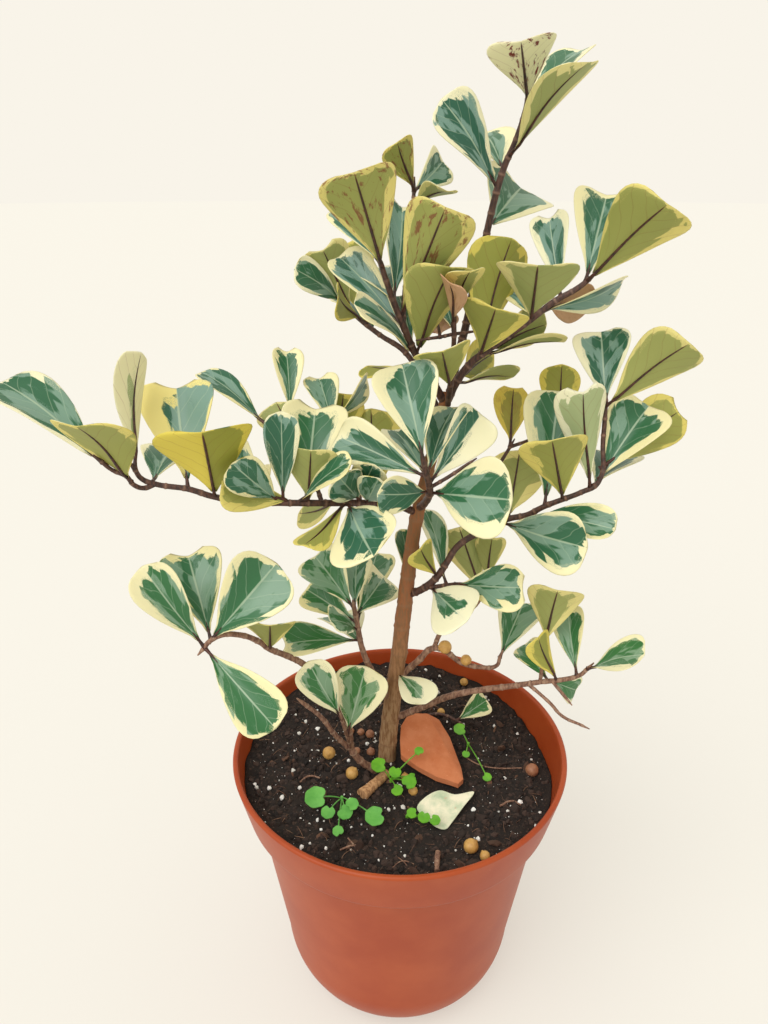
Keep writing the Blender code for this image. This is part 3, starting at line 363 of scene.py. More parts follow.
LOW_RIGHT = Branch(
    "low_right",
    (Stem(((397, 717, 5), (425, 706, -1), (450, 696, -7), (480, 690, -14), (512, 686, -21), (540, 682, -27),
           (560, 680, -31), (580, 675, -35), (588, 668, -37)), (4.2, 2)),
     Stem(((540, 682, -27), (543, 660, -26), (545, 640, -25)), (2.2, 1.8)),
     Stem(((528, 684, -25), (550, 703, -30), (562, 716, -33), (581, 725, -36)), (2, 1.6)),
     Stem(((552, 681, -30), (566, 698, -35)), (2, 1.6))),
    (Leaf((545, 641), (558, 590), -172, NEAR, 38, 30),
     Leaf((577, 676), (568, 607), -14, FAR, 38, 20),
     Leaf((588, 668), (645, 655), -50, NEAR, 36, 26),
     Leaf((556, 681), (538, 637), -150, NEAR, 32, 18),
     Leaf((548, 682), (525, 644), 0, FAR, 34, 18),
     Leaf((551, 682), (576, 690), 8, FAR, 24, 17)),
)

SOIL_SHOOT = Branch(
    "soil_shoot",
    (Stem(((427, 717, 43), (437, 714, 41), (447, 716, 38), (457, 721, 34)), (2.6, 1.8)),),
    (Leaf((457, 721), (487, 700), 0, FAR, 25, 18),),
    meets=(),
)

BRANCHES = (TRUNK, LEADER, UPPER_LEFT, BACK_LEFT, UPPER_RIGHT, MIDDLE_SHOOT, FRONT_ROSETTE, LEFT_LONG,
            RIGHT_MIDDLE, LOWER_RIGHT, INNER_LEFT, LOW_LEFT, LOW_RIGHT, SOIL_SHOOT)

# Places in the picture and radii in mm of the dried figs on the soil
FIGS = ((329, 753, 4), (352, 773, 3.8), (371, 752, 2.7), (361, 732, 2.3), (370, 734, 2.8), (471, 846, 4),
        (485, 856, 2.8), (464, 682, 2.8), (441, 712, 2.6), (532, 770, 4))

# Places in the picture, with heights over the soil in mm
SHARD_OUTLINE = ((401, 728, 14), (409, 717, 15), (425, 719, 12), (439, 722, 9), (450, 740, 6), (461, 772, 2),
                 (463, 785, 1), (458, 789, 1), (436, 780, 3), (415, 767, 6), (401, 757, 9), (400, 742, 12))
FALLEN_OUTLINE = ((417, 808, 1), (425, 798, 2), (440, 791, 2.4), (455, 794, 2.2), (474, 792, 4),
                  (463, 808, 2.2), (452, 822, 0.8), (445, 829, 0), (435, 827, 0), (428, 820, 0.3))
STUB_ROUTE = ((387, 773, 2), (376, 783, 1.5), (362, 795, 1.5))

SEEDLINGS = (
    Weed("seedling_left", (342, 800), ((316, 797, 9, 6), (328, 812, 7, 3.6), (345, 812, 8, 4),
                                           (352, 804, 12, 3.4), (338, 831, 5, 2.8), (375, 816, 8, 5.2))),
    Weed("seedling_middle", (391, 782), ((379, 765, 10, 4.4), (395, 772, 12, 3.4), (397, 790, 6, 3.2),
                                             (409, 782, 9, 4))),
    Weed("seedling_front", (407, 819), ((412, 813, 8, 2.8), (424, 817, 8, 3.2), (435, 820, 7, 2.8))),
    Weed("seedling_right", (468, 746), ((460, 729, 8, 3.8), (466, 754, 6, 2.2), (487, 777, 4, 2.6))),
)

# Smaller figs that the others half hide
SMALL_FIGS = ((357, 751, 2.4), (351, 731, 2.2), (413, 791, 2.8), (405, 777, 2.5))

# Places with heights over the soil, and thickness in mm, of bits of wood and root
TWIGS = (
    (((437, 871, 1.2), (437, 861, 1.6), (438, 852, 1.4)), 3.0),
    (((340, 850, 0.8), (350, 846, 1.4), (362, 845, 0.8)), 1.0),
    (((348, 838, 1.0), (356, 848, 1.2), (360, 856, 0.6)), 0.8),
    (((392, 868, 0.5), (402, 861, 1.2), (414, 864, 0.5)), 0.6),
    (((396, 856, 0.5), (404, 862, 1.0), (410, 870, 0.4)), 0.5),
    (((462, 755, 0.8), (480, 765, 1.6), (495, 768, 1.8), (522, 768, 0.8)), 0.8),
    (((300, 782, 0.6), (309, 776, 1.2), (320, 778, 0.5)), 1.1),
    (((500, 806, 0.6), (512, 801, 1.2), (521, 805, 0.5)), 1.2),
)

# Where the shard's crease runs
SHARD_CREASE = ((430, 722, 12), (462, 783, 2))

# Places with heights and radii in mm of small leaves that only these pieces have
MORE_WEED_LEAVES = {"seedling_middle": ((419, 751, 17, 2.6), (412, 777, 8, 2.3))}

OLD_BRANCHES = ("inner_left", "low_left", "low_right", "lower_right")
PATTERN_NAMES = ("leaf_pattern", "crumb_", "clod_", "perlite_", "chip_", "fibre_")


# Sizes that the solids share with these pieces
ROOT_DEPTH = 30 * MM
PETIOLE_SHARE = 0.16
PETIOLE_RADIUS = 0.9 * MM
SOLID_BLADE = 0.8 * MM
FOLD = math.radians(24)
ARCH_SHARE = 0.06
LEAF_CLEARANCE = 0.35 * MM
OWN_CLEAR_FROM = 0.2
# Share of the blade's length at the rib and at the edge, and share of its half width
BLADE_SECTIONS = ((0.0, 0.0, 0.07), (0.4, 0.42, 0.6), (0.76, 0.76, 1.0), (0.99, 0.96, 0.62))
# How far a blade's tip may slide along its line of sight, and a blade turn, to lie clear of others
SLIDES = (0, -4, 4, -8, 8, -12, 12, -16, 16, -21, 21, -26, 26)
TURNS = (0, 14, -14, 28, -28)
TURN_COST = 0.5
FOOT_STEPS = 12
BACK_FROM = 0.3
BACK_SPREAD = 0.3
BACK_RISE = 0.4
BACK_LONG = 44 * MM
BACK_WIDE = 30 * MM
STEM_SIDES = 5
TRUNK_SIDES = 8
FIG_SIDES = 7
FIG_RINGS = 4
FIG_SUNK = 1.2


def linear(colour: str) -> tuple[float, float, float, float]:
    """Turn an sRGB hex colour to linear.

    Args:
        colour: Six hex digits after a #.

    Returns:
        Red, green and blue as linear values, and 1.
    """
    parts = [int(colour[start:start + 2], 16) / 255 for start in (1, 3, 5)]
    red, green, blue = [part / 12.92 if part <= 0.04045 else ((part + 0.055) / 1.055) ** 2.4 for part in parts]
    return (red, green, blue, 1.0)


def add(tree: bpy.types.NodeTree, kind: str, settings: dict | str | None = None,
        inputs: Sequence | dict = (), output: int | str = 0) -> bpy.types.NodeSocket:
    """Add a node with its settings and links.

    Args:
        tree: The tree that gets the node.
        kind: The node's type.
        settings: The node's settings by name, or its operation alone.
        inputs: Sockets to link or values to set, in order or by name.
        output: Which output to return.

    Returns:
        The output socket, whose node is the new one.
    """
    node = tree.nodes.new(kind)
    if isinstance(settings, str):
        settings = {"operation": settings}
    for name, value in (settings or {}).items():
        setattr(node, name, value)
    pairs = inputs.items() if isinstance(inputs, dict) else enumerate(inputs)
    for key, value in pairs:
        if isinstance(value, bpy.types.NodeSocket):
            tree.links.new(value, node.inputs[key])
        elif value is not None:
            node.inputs[key].default_value = value
    return node.outputs[output] if len(node.outputs) else node.inputs[0]


@dataclass(frozen=True)
class Viewer:
    """The viewer in front of the plant, whose picture the plan is drawn in."""

    eye: Place = (-9.4, -371.3, 487.8)
    pitch: float = math.radians(24)
    length: float = 769
    middle: Place = (384, 512)
    picture_high: float = 1024
    sensor: float = 36

    def at(self) -> Vector:
        """The eye's place in metres."""
        return Vector(self.eye) * MM

    def line(self, place: Place) -> Vector:
        """Find the way the viewer looks at a place in the picture.

        Args:
            place: Across and down in the picture.

        Returns:
            The direction, one unit deep along the view.
        """
        across = (place[0] - self.middle[0]) / self.length
        up = (self.middle[1] - place[1]) / self.length
        forward = Vector((0, math.cos(self.pitch), -math.sin(self.pitch)))
        upward = Vector((0, math.sin(self.pitch), math.cos(self.pitch)))
        return Vector((across, 0, 0)) + upward * up + forward

    def point(self, x: float, y: float, depth: float) -> Vector:
        """Find a point by its place in the picture.

        Args:
            x: Across the picture.
            y: Down the picture.
            depth: Millimetres behind the pot's axis.

        Returns:
            The point in space.
        """
        line = self.line((x, y))
        return self.at() + line * ((depth * MM - self.at().y) / line.y)

    def place(self, point: Vector) -> Place:
        """Find where in the picture a point is seen.

        Args:
            point: The point in space.

        Returns:
            Across and down in the picture.
        """
        seen = Matrix.Rotation(self.pitch, 3, "X") @ (point - self.at())
        scale = self.length / seen.y
        return (self.middle[0] + seen.x * scale, self.middle[1] - seen.z * scale)


@dataclass(frozen=True)
class SoilLevel:
    """The height of the soil, which falls to the right and is heaped against the back of the pot."""

    top: float = 152 * MM
    fall: float = 0.04
    heap: float = 8 * MM
    heap_from: float = 20 * MM
    heap_run: float = 70 * MM
    bump: float = 1.2 * MM
    grain: float = 24 * MM
    steps: int = 8

    def height(self, x: float, y: float) -> float:
        """Find the soil's height.

        Args:
            x: Metres to the right of the pot's axis.
            y: Metres behind it.

        Returns:
            The height in metres.
        """
        share = min(max((y - self.heap_from) / self.heap_run, 0), 1)
        heap = self.heap * share * share * (3 - 2 * share)
        bump = self.bump * noise.noise(Vector((x, y, 0)) / self.grain)
        return self.top - self.fall * x + heap + bump

    def seen(self, viewer: Viewer, x: float, y: float, height: float = 0) -> Vector:
        """Find a point over the soil by its place in the picture.

        Args:
            viewer: Who sees it.
            x: Across the picture.
            y: Down the picture.
            height: Millimetres over the soil.

        Returns:
            The point in space.
        """
        line = viewer.line((x, y))
        level = self.top
        for _ in range(self.steps):
            point = viewer.at() + line * ((level + height * MM - viewer.at().z) / line.z)
            level = self.height(point.x, point.y)
        return point


VIEWER = Viewer()
LEVEL = SoilLevel()


class Form(NamedTuple):
    """A closed form: its corners, and its faces with their corners counter-clockwise from outside."""

    points: list[Vector]
    faces: list[tuple[int, ...]]


class Blade(NamedTuple):
    """A leaf in space: where it leaves its stem, its tip, the way its upper face looks, its width."""

    foot: Vector
    tip: Vector
    up: Vector
    wide: float
    look: Look


def joined(forms: Sequence[Form]) -> Form:
    """Put several forms in one list of corners and faces, still apart."""
    points: list[Vector] = []
    faces: list[tuple[int, ...]] = []
    for form in forms:
        start = len(points)
        points += form.points
        faces += [tuple(start + corner for corner in face) for face in form.faces]
    return Form(points, faces)


def tube(route: Sequence[Vector], radii: Sequence[float], sides: int) -> Form:
    """Make a round stem along a route.

    Args:
        route: The points of its middle line.
        radii: Its radius at each point.
        sides: How many sides it has.

    Returns:
        The closed tube.
    """
    points = []
    normal = None
    for index, place in enumerate(route):
        before = route[max(index - 1, 0)]
        after = route[min(index + 1, len(route) - 1)]
        along = (after - before).normalized()
        normal = along.orthogonal() if normal is None else normal - along * normal.dot(along)
        normal.normalize()
        side = along.cross(normal)
        for turn in range(sides):
            angle = math.tau * turn / sides
            points.append(place + (normal * math.cos(angle) + side * math.sin(angle)) * radii[index])
    faces = [tuple(range(sides))[::-1]]
    for ring in range(len(route) - 1):
        for turn in range(sides):
            here = ring * sides + turn
            beside = ring * sides + (turn + 1) % sides
            faces.append((here, beside, beside + sides, here + sides))
    faces.append(tuple(range(len(points) - sides, len(points))))
    return Form(points, faces)


def turned(profile: Sequence[Place], sides: int) -> Form:
    """Turn a profile about Z.

    Args:
        profile: Radius and height of each point, from the axis and back to it.
        sides: How many sides the form has.

    Returns:
        The closed form.
    """
    points = [Vector((0, 0, profile[0][1]))]
    for radius, height in profile[1:-1]:
        for turn in range(sides):
            angle = math.tau * turn / sides
            points.append(Vector((radius * math.cos(angle), radius * math.sin(angle), height)))
    points.append(Vector((0, 0, profile[-1][1])))
    faces: list[tuple[int, ...]] = []
    last = 1 + sides * (len(profile) - 3)
    for turn in range(sides):
        beside = (turn + 1) % sides
        faces.append((0, 1 + beside, 1 + turn))
        faces.append((last + turn, last + beside, len(points) - 1))
        for ring in range(len(profile) - 3):
            here = 1 + ring * sides
            faces.append((here + turn, here + beside, here + sides + beside, here + sides + turn))
    return Form(points, faces)


def ball(centre: Vector, radius: float, sides: int = FIG_SIDES, rings: int = FIG_RINGS) -> Form:
    """Make a round body of flat faces."""
    angles = [math.pi * ring / rings for ring in range(rings + 1)]
    form = turned([(radius * math.sin(angle), -radius * math.cos(angle)) for angle in angles], sides)
    return Form([point + centre for point in form.points], form.faces)


def tree_of(forms: Sequence[Form]) -> BVHTree | None:
    """Make a search tree over forms, or None where there are none."""
    whole = joined(forms)
    return BVHTree.FromPolygons(whole.points, whole.faces) if whole.faces else None


def crosses(form: Form, tree: BVHTree | None) -> bool:
    """Say whether a form crosses those in a search tree."""
    if tree is None:
        return False
    return bool(BVHTree.FromPolygons(form.points, form.faces).overlap(tree))


@dataclass(frozen=True)
class Foliage:
    """The rule that sets every leaf of the plan in space, clear of the stems and leaves before it."""

    branches: tuple[Branch, ...]
    viewer: Viewer = VIEWER

    def route(self, branch: Branch, index: int) -> list[Vector]:
        """Find a stem's route. A rooted branch's first stem goes on down into the soil.

        Args:
            branch: The leafy stem.
            index: Which of its stems.

        Returns:
            The points of its middle line.
        """
        route = [self.viewer.point(*place) for place in branch.stems[index].route]
        if not branch.meets and index == 0:
            route.insert(0, route[0] - Vector((0, 0, ROOT_DEPTH)))
        return route

    def radii(self, stem: Stem, count: int) -> list[float]:
        """Find a stem's radius at each of a number of points, from its thick end to its thin one."""
        first, last = stem.thick
        return [(first + (last - first) * index / (count - 1)) / 2 * MM for index in range(count)]

    def stem_forms(self, branch: Branch) -> list[Form]:
        """Make the plain tubes and figs of a branch, for leaves to lie clear of."""
        sides = TRUNK_SIDES if branch.name == "trunk" else STEM_SIDES
        forms = []
        for index, stem in enumerate(branch.stems):
            route = self.route(branch, index)
            forms.append(tube(route, self.radii(stem, len(route)), sides))
        for x, y, depth, radius in branch.fruits:
            forms.append(ball(self.viewer.point(x, y, depth), radius * MM))
        return forms

    def leaf_form(self, blade: Blade, swell: float = 0, petiole: bool = True) -> Form:
        """Make a plain leaf folded along its rib and arched along it, as its solid is.

        Args:
            blade: The leaf.
            swell: How much it is swollen all over.
            petiole: Whether its stalk is part of it.

        Returns:
            A loft of six-cornered sections.
        """
        along = (blade.tip - blade.foot).normalized()
        right = along.cross(blade.up)
        whole = (blade.tip - blade.foot).length
        length = whole * (1 - PETIOLE_SHARE)
        base = blade.foot + along * (whole * PETIOLE_SHARE)
        half_thick = SOLID_BLADE / 2 + swell
        sections = []
        if petiole:
            stalk = PETIOLE_RADIUS + swell
            flat = Vector((stalk * 0.87, 0, stalk / 2))
            sections.append((blade.foot, blade.foot, flat.x, flat.z, stalk, 0))
        for rib, edge, half in BLADE_SECTIONS:
            middle = base + along * (length * rib)
            rim = base + along * (length * edge)
            width = max(blade.wide / 2 * half, PETIOLE_RADIUS) + swell
            arch = ARCH_SHARE * length * math.sin(math.pi * rib)
            sections.append((middle + blade.up * arch, rim + blade.up * arch, width * math.cos(FOLD), half_thick,
                             half_thick, width * math.sin(FOLD)))
        points = []
        for middle, rim, width, edge_thick, rib_thick, rise in sections:
            left = rim - right * width + blade.up * rise
            far = rim + right * width + blade.up * rise
            points += [left + blade.up * edge_thick, middle + blade.up * rib_thick, far + blade.up * edge_thick,
                       far - blade.up * edge_thick, middle - blade.up * rib_thick, left - blade.up * edge_thick]
        faces: list[tuple[int, ...]] = [(4, 1, 0), (5, 4, 0), (3, 2, 1), (4, 3, 1)]
        for ring in range(len(sections) - 1):
            for side in range(6):
                a = ring * 6 + side
                b = ring * 6 + (side + 1) % 6
                if side in (0, 3):
                    faces += [(a, b, a + 6), (b, b + 6, a + 6)]
                else:
                    faces += [(a, b, b + 6), (a, b + 6, a + 6)]
        end = len(points) - 6
        faces += [(end, end + 1, end + 4), (end, end + 4, end + 5), (end + 1, end + 2, end + 3),
                  (end + 1, end + 3, end + 4)]
        return Form(points, faces)

    def foot(self, branch: Branch, place: Place) -> Vector:
        """Find the point on a branch's stems that is seen nearest a place in the picture."""
        best: tuple[float, Vector] | None = None
        for index in range(len(branch.stems)):
            route = self.route(branch, index)
            for start, end in zip(route, route[1:]):
                for step in range(FOOT_STEPS):
                    point = start.lerp(end, step / FOOT_STEPS)
                    seen = self.viewer.place(point)
                    away = math.hypot(seen[0] - place[0], seen[1] - place[1])
                    if best is None or away < best[0]:
                        best = (away, point)
        return best[1]

    def tip(self, foot: Vector, leaf: Leaf) -> Vector:
        """Find a leaf's tip on its line of sight, at the leaf's own length from its foot."""
        line = self.viewer.line(leaf.tip).normalized()
        reach = foot - self.viewer.at()
        middle = reach.dot(line)
        short = reach.length_squared - middle * middle
        spare = max((leaf.long * MM) ** 2 - short, 0)
        return self.viewer.at() + line * (middle + leaf.lean.value * math.sqrt(spare))

    def facing(self, foot: Vector, tip: Vector, turn: float) -> Vector:
        """Find the way a leaf's upper face looks when it is turned from the viewer about its rib."""
        along = (tip - foot).normalized()
        to_viewer = self.viewer.at() - foot
        front = (to_viewer - along * to_viewer.dot(along)).normalized()
        return Matrix.Rotation(math.radians(turn), 3, along) @ front

    def back_leaves(self, branch: Branch) -> list[tuple[Vector, Vector, Vector]]:
        """Set leaves on the side of a branch that the viewer doesn't see."""
        route = self.route(branch, 0)
        leaves = []
        for index in range(branch.back):
            share = BACK_FROM + (1 - BACK_FROM) * (index + 0.5) / branch.back
            place = share * (len(route) - 1)
            step = min(int(place), len(route) - 2)
            foot = route[step].lerp(route[step + 1], place - step)
            side = BACK_SPREAD if index % 2 else -BACK_SPREAD
            way = (foot - self.viewer.at()).normalized() + Vector((side, 0, BACK_RISE))
            way.normalize()
            up = Vector((0, 0, 1)) - way * way.z
            leaves.append((foot, foot + way * BACK_LONG, up.normalized()))
        return leaves

    def choices(self, blade: Blade) -> Iterator[Blade]:
        """Give a leaf as seen, and then slid and turned, the least change first."""
        changes = [(slide, turn) for slide in SLIDES for turn in TURNS]
        changes.sort(key=lambda change: abs(change[0]) + abs(change[1]) * TURN_COST)
        line = (blade.tip - self.viewer.at()).normalized()
        for slide, turn in changes:
            moved = blade.tip + line * (slide * MM)
            along = (moved - blade.foot).normalized()
            upright = (blade.up - along * blade.up.dot(along)).normalized()
            up = Matrix.Rotation(math.radians(turn), 3, along) @ upright
            yield blade._replace(tip=moved, up=up)

    def sights(self, branch: Branch) -> list[Blade]:
        """Set a branch's leaves as the viewer sees them, and those on its back."""
        found = []
        for leaf in branch.leaves:
            foot = self.foot(branch, leaf.foot)
            tip = self.tip(foot, leaf)
            found.append(Blade(foot, tip, self.facing(foot, tip, leaf.turn), leaf.wide * MM, leaf.look))
        found += [Blade(*ends, BACK_WIDE, Look.USUAL) for ends in self.back_leaves(branch)]
        return found

    def settled(self) -> dict[str, list[Blade]]:
        """Bend every leaf clear of the stems and leaves that come before it.

        Returns:
            Each branch's leaves by its name.
        """
        leaves: dict[str, list[Blade]] = {branch.name: [] for branch in self.branches}
        stems = {branch.name: self.stem_forms(branch) for branch in self.branches}
        for branch in self.branches:
            for seen in self.sights(branch):
                others: list[Form] = []
                for name, blades in leaves.items():
                    if name != branch.name:
                        others += stems[name] + [self.leaf_form(blade) for blade in blades]
                own = [self.leaf_form(blade, 0, False) for blade in leaves[branch.name]]
                other_tree = tree_of(others)
                own_tree = tree_of(stems[branch.name] + own)
                spare = None
                for blade in self.choices(seen):
                    if crosses(self.leaf_form(blade, LEAF_CLEARANCE), other_tree):
                        continue
                    spare = spare or blade
                    outer = blade._replace(foot=blade.foot.lerp(blade.tip, OWN_CLEAR_FROM))
                    if not crosses(self.leaf_form(outer, 0, False), own_tree):
                        spare = blade
                        break
                if spare is not None:
                    leaves[branch.name].append(spare)
        return leaves


def piece_of(name: str, form: Form, finish: bpy.types.Material | None = None) -> bpy.types.Object:
    """Make an object of one form.

    Args:
        name: The object's name.
        form: Its corners and faces.
        finish: Its material.

    Returns:
        The object, in the scene.
    """
    mesh = bpy.data.meshes.new(name)
    mesh.from_pydata([tuple(point) for point in form.points], [], form.faces)
    if finish is not None:
        mesh.materials.append(finish)
    made = bpy.data.objects.new(name, mesh)
    bpy.context.scene.collection.objects.link(made)
    return made


def dressed(made: bpy.types.Object, slot: str, *nodes: str) -> bpy.types.Object:
    """Fix a finished piece to the plant, in place of its solids.

    Args:
        made: The piece.
        slot: Not used.
        nodes: The solids that it stands for.

    Returns:
        The piece.
    """
    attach(made, "root")
    if nodes:
        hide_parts(*nodes)
    log.info("%s: %d faces", made.name, len(made.data.polygons))
    return made


@dataclass
class Growth:
    """A Geometry Nodes tree with named inputs, and what it makes of a source object."""

    name: str
    sizes: dict[str, object]
    tree: bpy.types.NodeTree = field(init=False)
    given: dict[str, bpy.types.NodeSocket] = field(init=False)

    KINDS = {float: "NodeSocketFloat", int: "NodeSocketInt", bpy.types.Object: "NodeSocketObject",
             bpy.types.Collection: "NodeSocketCollection", bpy.types.Material: "NodeSocketMaterial"}

    def __post_init__(self) -> None:
        """Make the tree and one input for each size."""
        self.tree = bpy.data.node_groups.new(self.name, "GeometryNodeTree")
        self.tree.interface.new_socket("Geometry", in_out="INPUT", socket_type="NodeSocketGeometry")
        self.tree.interface.new_socket("Geometry", in_out="OUTPUT", socket_type="NodeSocketGeometry")
        for name, value in self.sizes.items():
            kind = next(socket for held, socket in self.KINDS.items() if isinstance(value, held))
            self.tree.interface.new_socket(name, in_out="INPUT", socket_type=kind)
        first = add(self.tree, "NodeGroupInput").node
        self.given = {socket.name: socket for socket in first.outputs if socket.name}

    def end(self, shape: bpy.types.NodeSocket) -> None:
        """Lead a shape to the tree's output."""
        add(self.tree, "NodeGroupOutput", None, (shape,))

    def grown(self, source: bpy.types.Object, name: str) -> bpy.types.Object:
        """Run the tree on a source, which is then removed.

        Args:
            source: The object that the tree starts from.
            name: The name of what it makes.

        Returns:
            A plain mesh object.
        """
        step = source.modifiers.new(self.name, "NODES")
        step.node_group = self.tree
        for item in self.tree.interface.items_tree:
            if item.in_out == "INPUT" and item.name in self.sizes:
                step[item.identifier] = self.sizes[item.name]
        bpy.context.view_layer.update()
        ready = source.evaluated_get(bpy.context.evaluated_depsgraph_get())
        mesh = bpy.data.meshes.new_from_object(ready)
        source.modifiers.remove(step)
        bpy.data.objects.remove(source, do_unlink=True)
        mesh.name = name
        made = bpy.data.objects.new(name, mesh)
        bpy.context.scene.collection.objects.link(made)
        return made


@dataclass(frozen=True)
class Tint:
    """A leaf's own colouring: how far green reaches to each side, and how yellow, red and olive it is."""

    left: float = 0.74
    right: float = 0.74
    yellow: float = 0.25
    blush: float = 0.0
    under: float = 0.8
    rust: float = 0.0


TINTS = {
    Look.USUAL: Tint(),
    Look.CREAM_RED: Tint(0.0, 0.0, 0.3, 1.0, 0.0),
    Look.OLIVE_RED: Tint(0.8, 0.8, 0.7, 0.75, 0.9),
    Look.SALMON: Tint(0.25, 0.25, 0.6, 0.4, 0.3, 0.75),
    Look.CREAM: Tint(0.34, 0.42, 0.1, 0.0, 0.4),
    Look.CREAM_RIGHT: Tint(0.75, 0.2, 0.15, 0.0, 0.5),
    Look.PALE: Tint(0.1, 0.3, 0.75, 0.0, 0.3),
    Look.YELLOW_LEFT: Tint(0.35, 0.9, 0.9, 0.0, 0.8),
    Look.YELLOW_RIGHT: Tint(0.95, 0.1, 1.0, 0.0, 0.9),
    Look.PALE_GREEN: Tint(0.8, 0.75, 0.4, 0.0, 0.15),
    Look.OCHRE: Tint(0.5, 0.6, 1.0, 0.2, 1.0, 0.12),
}


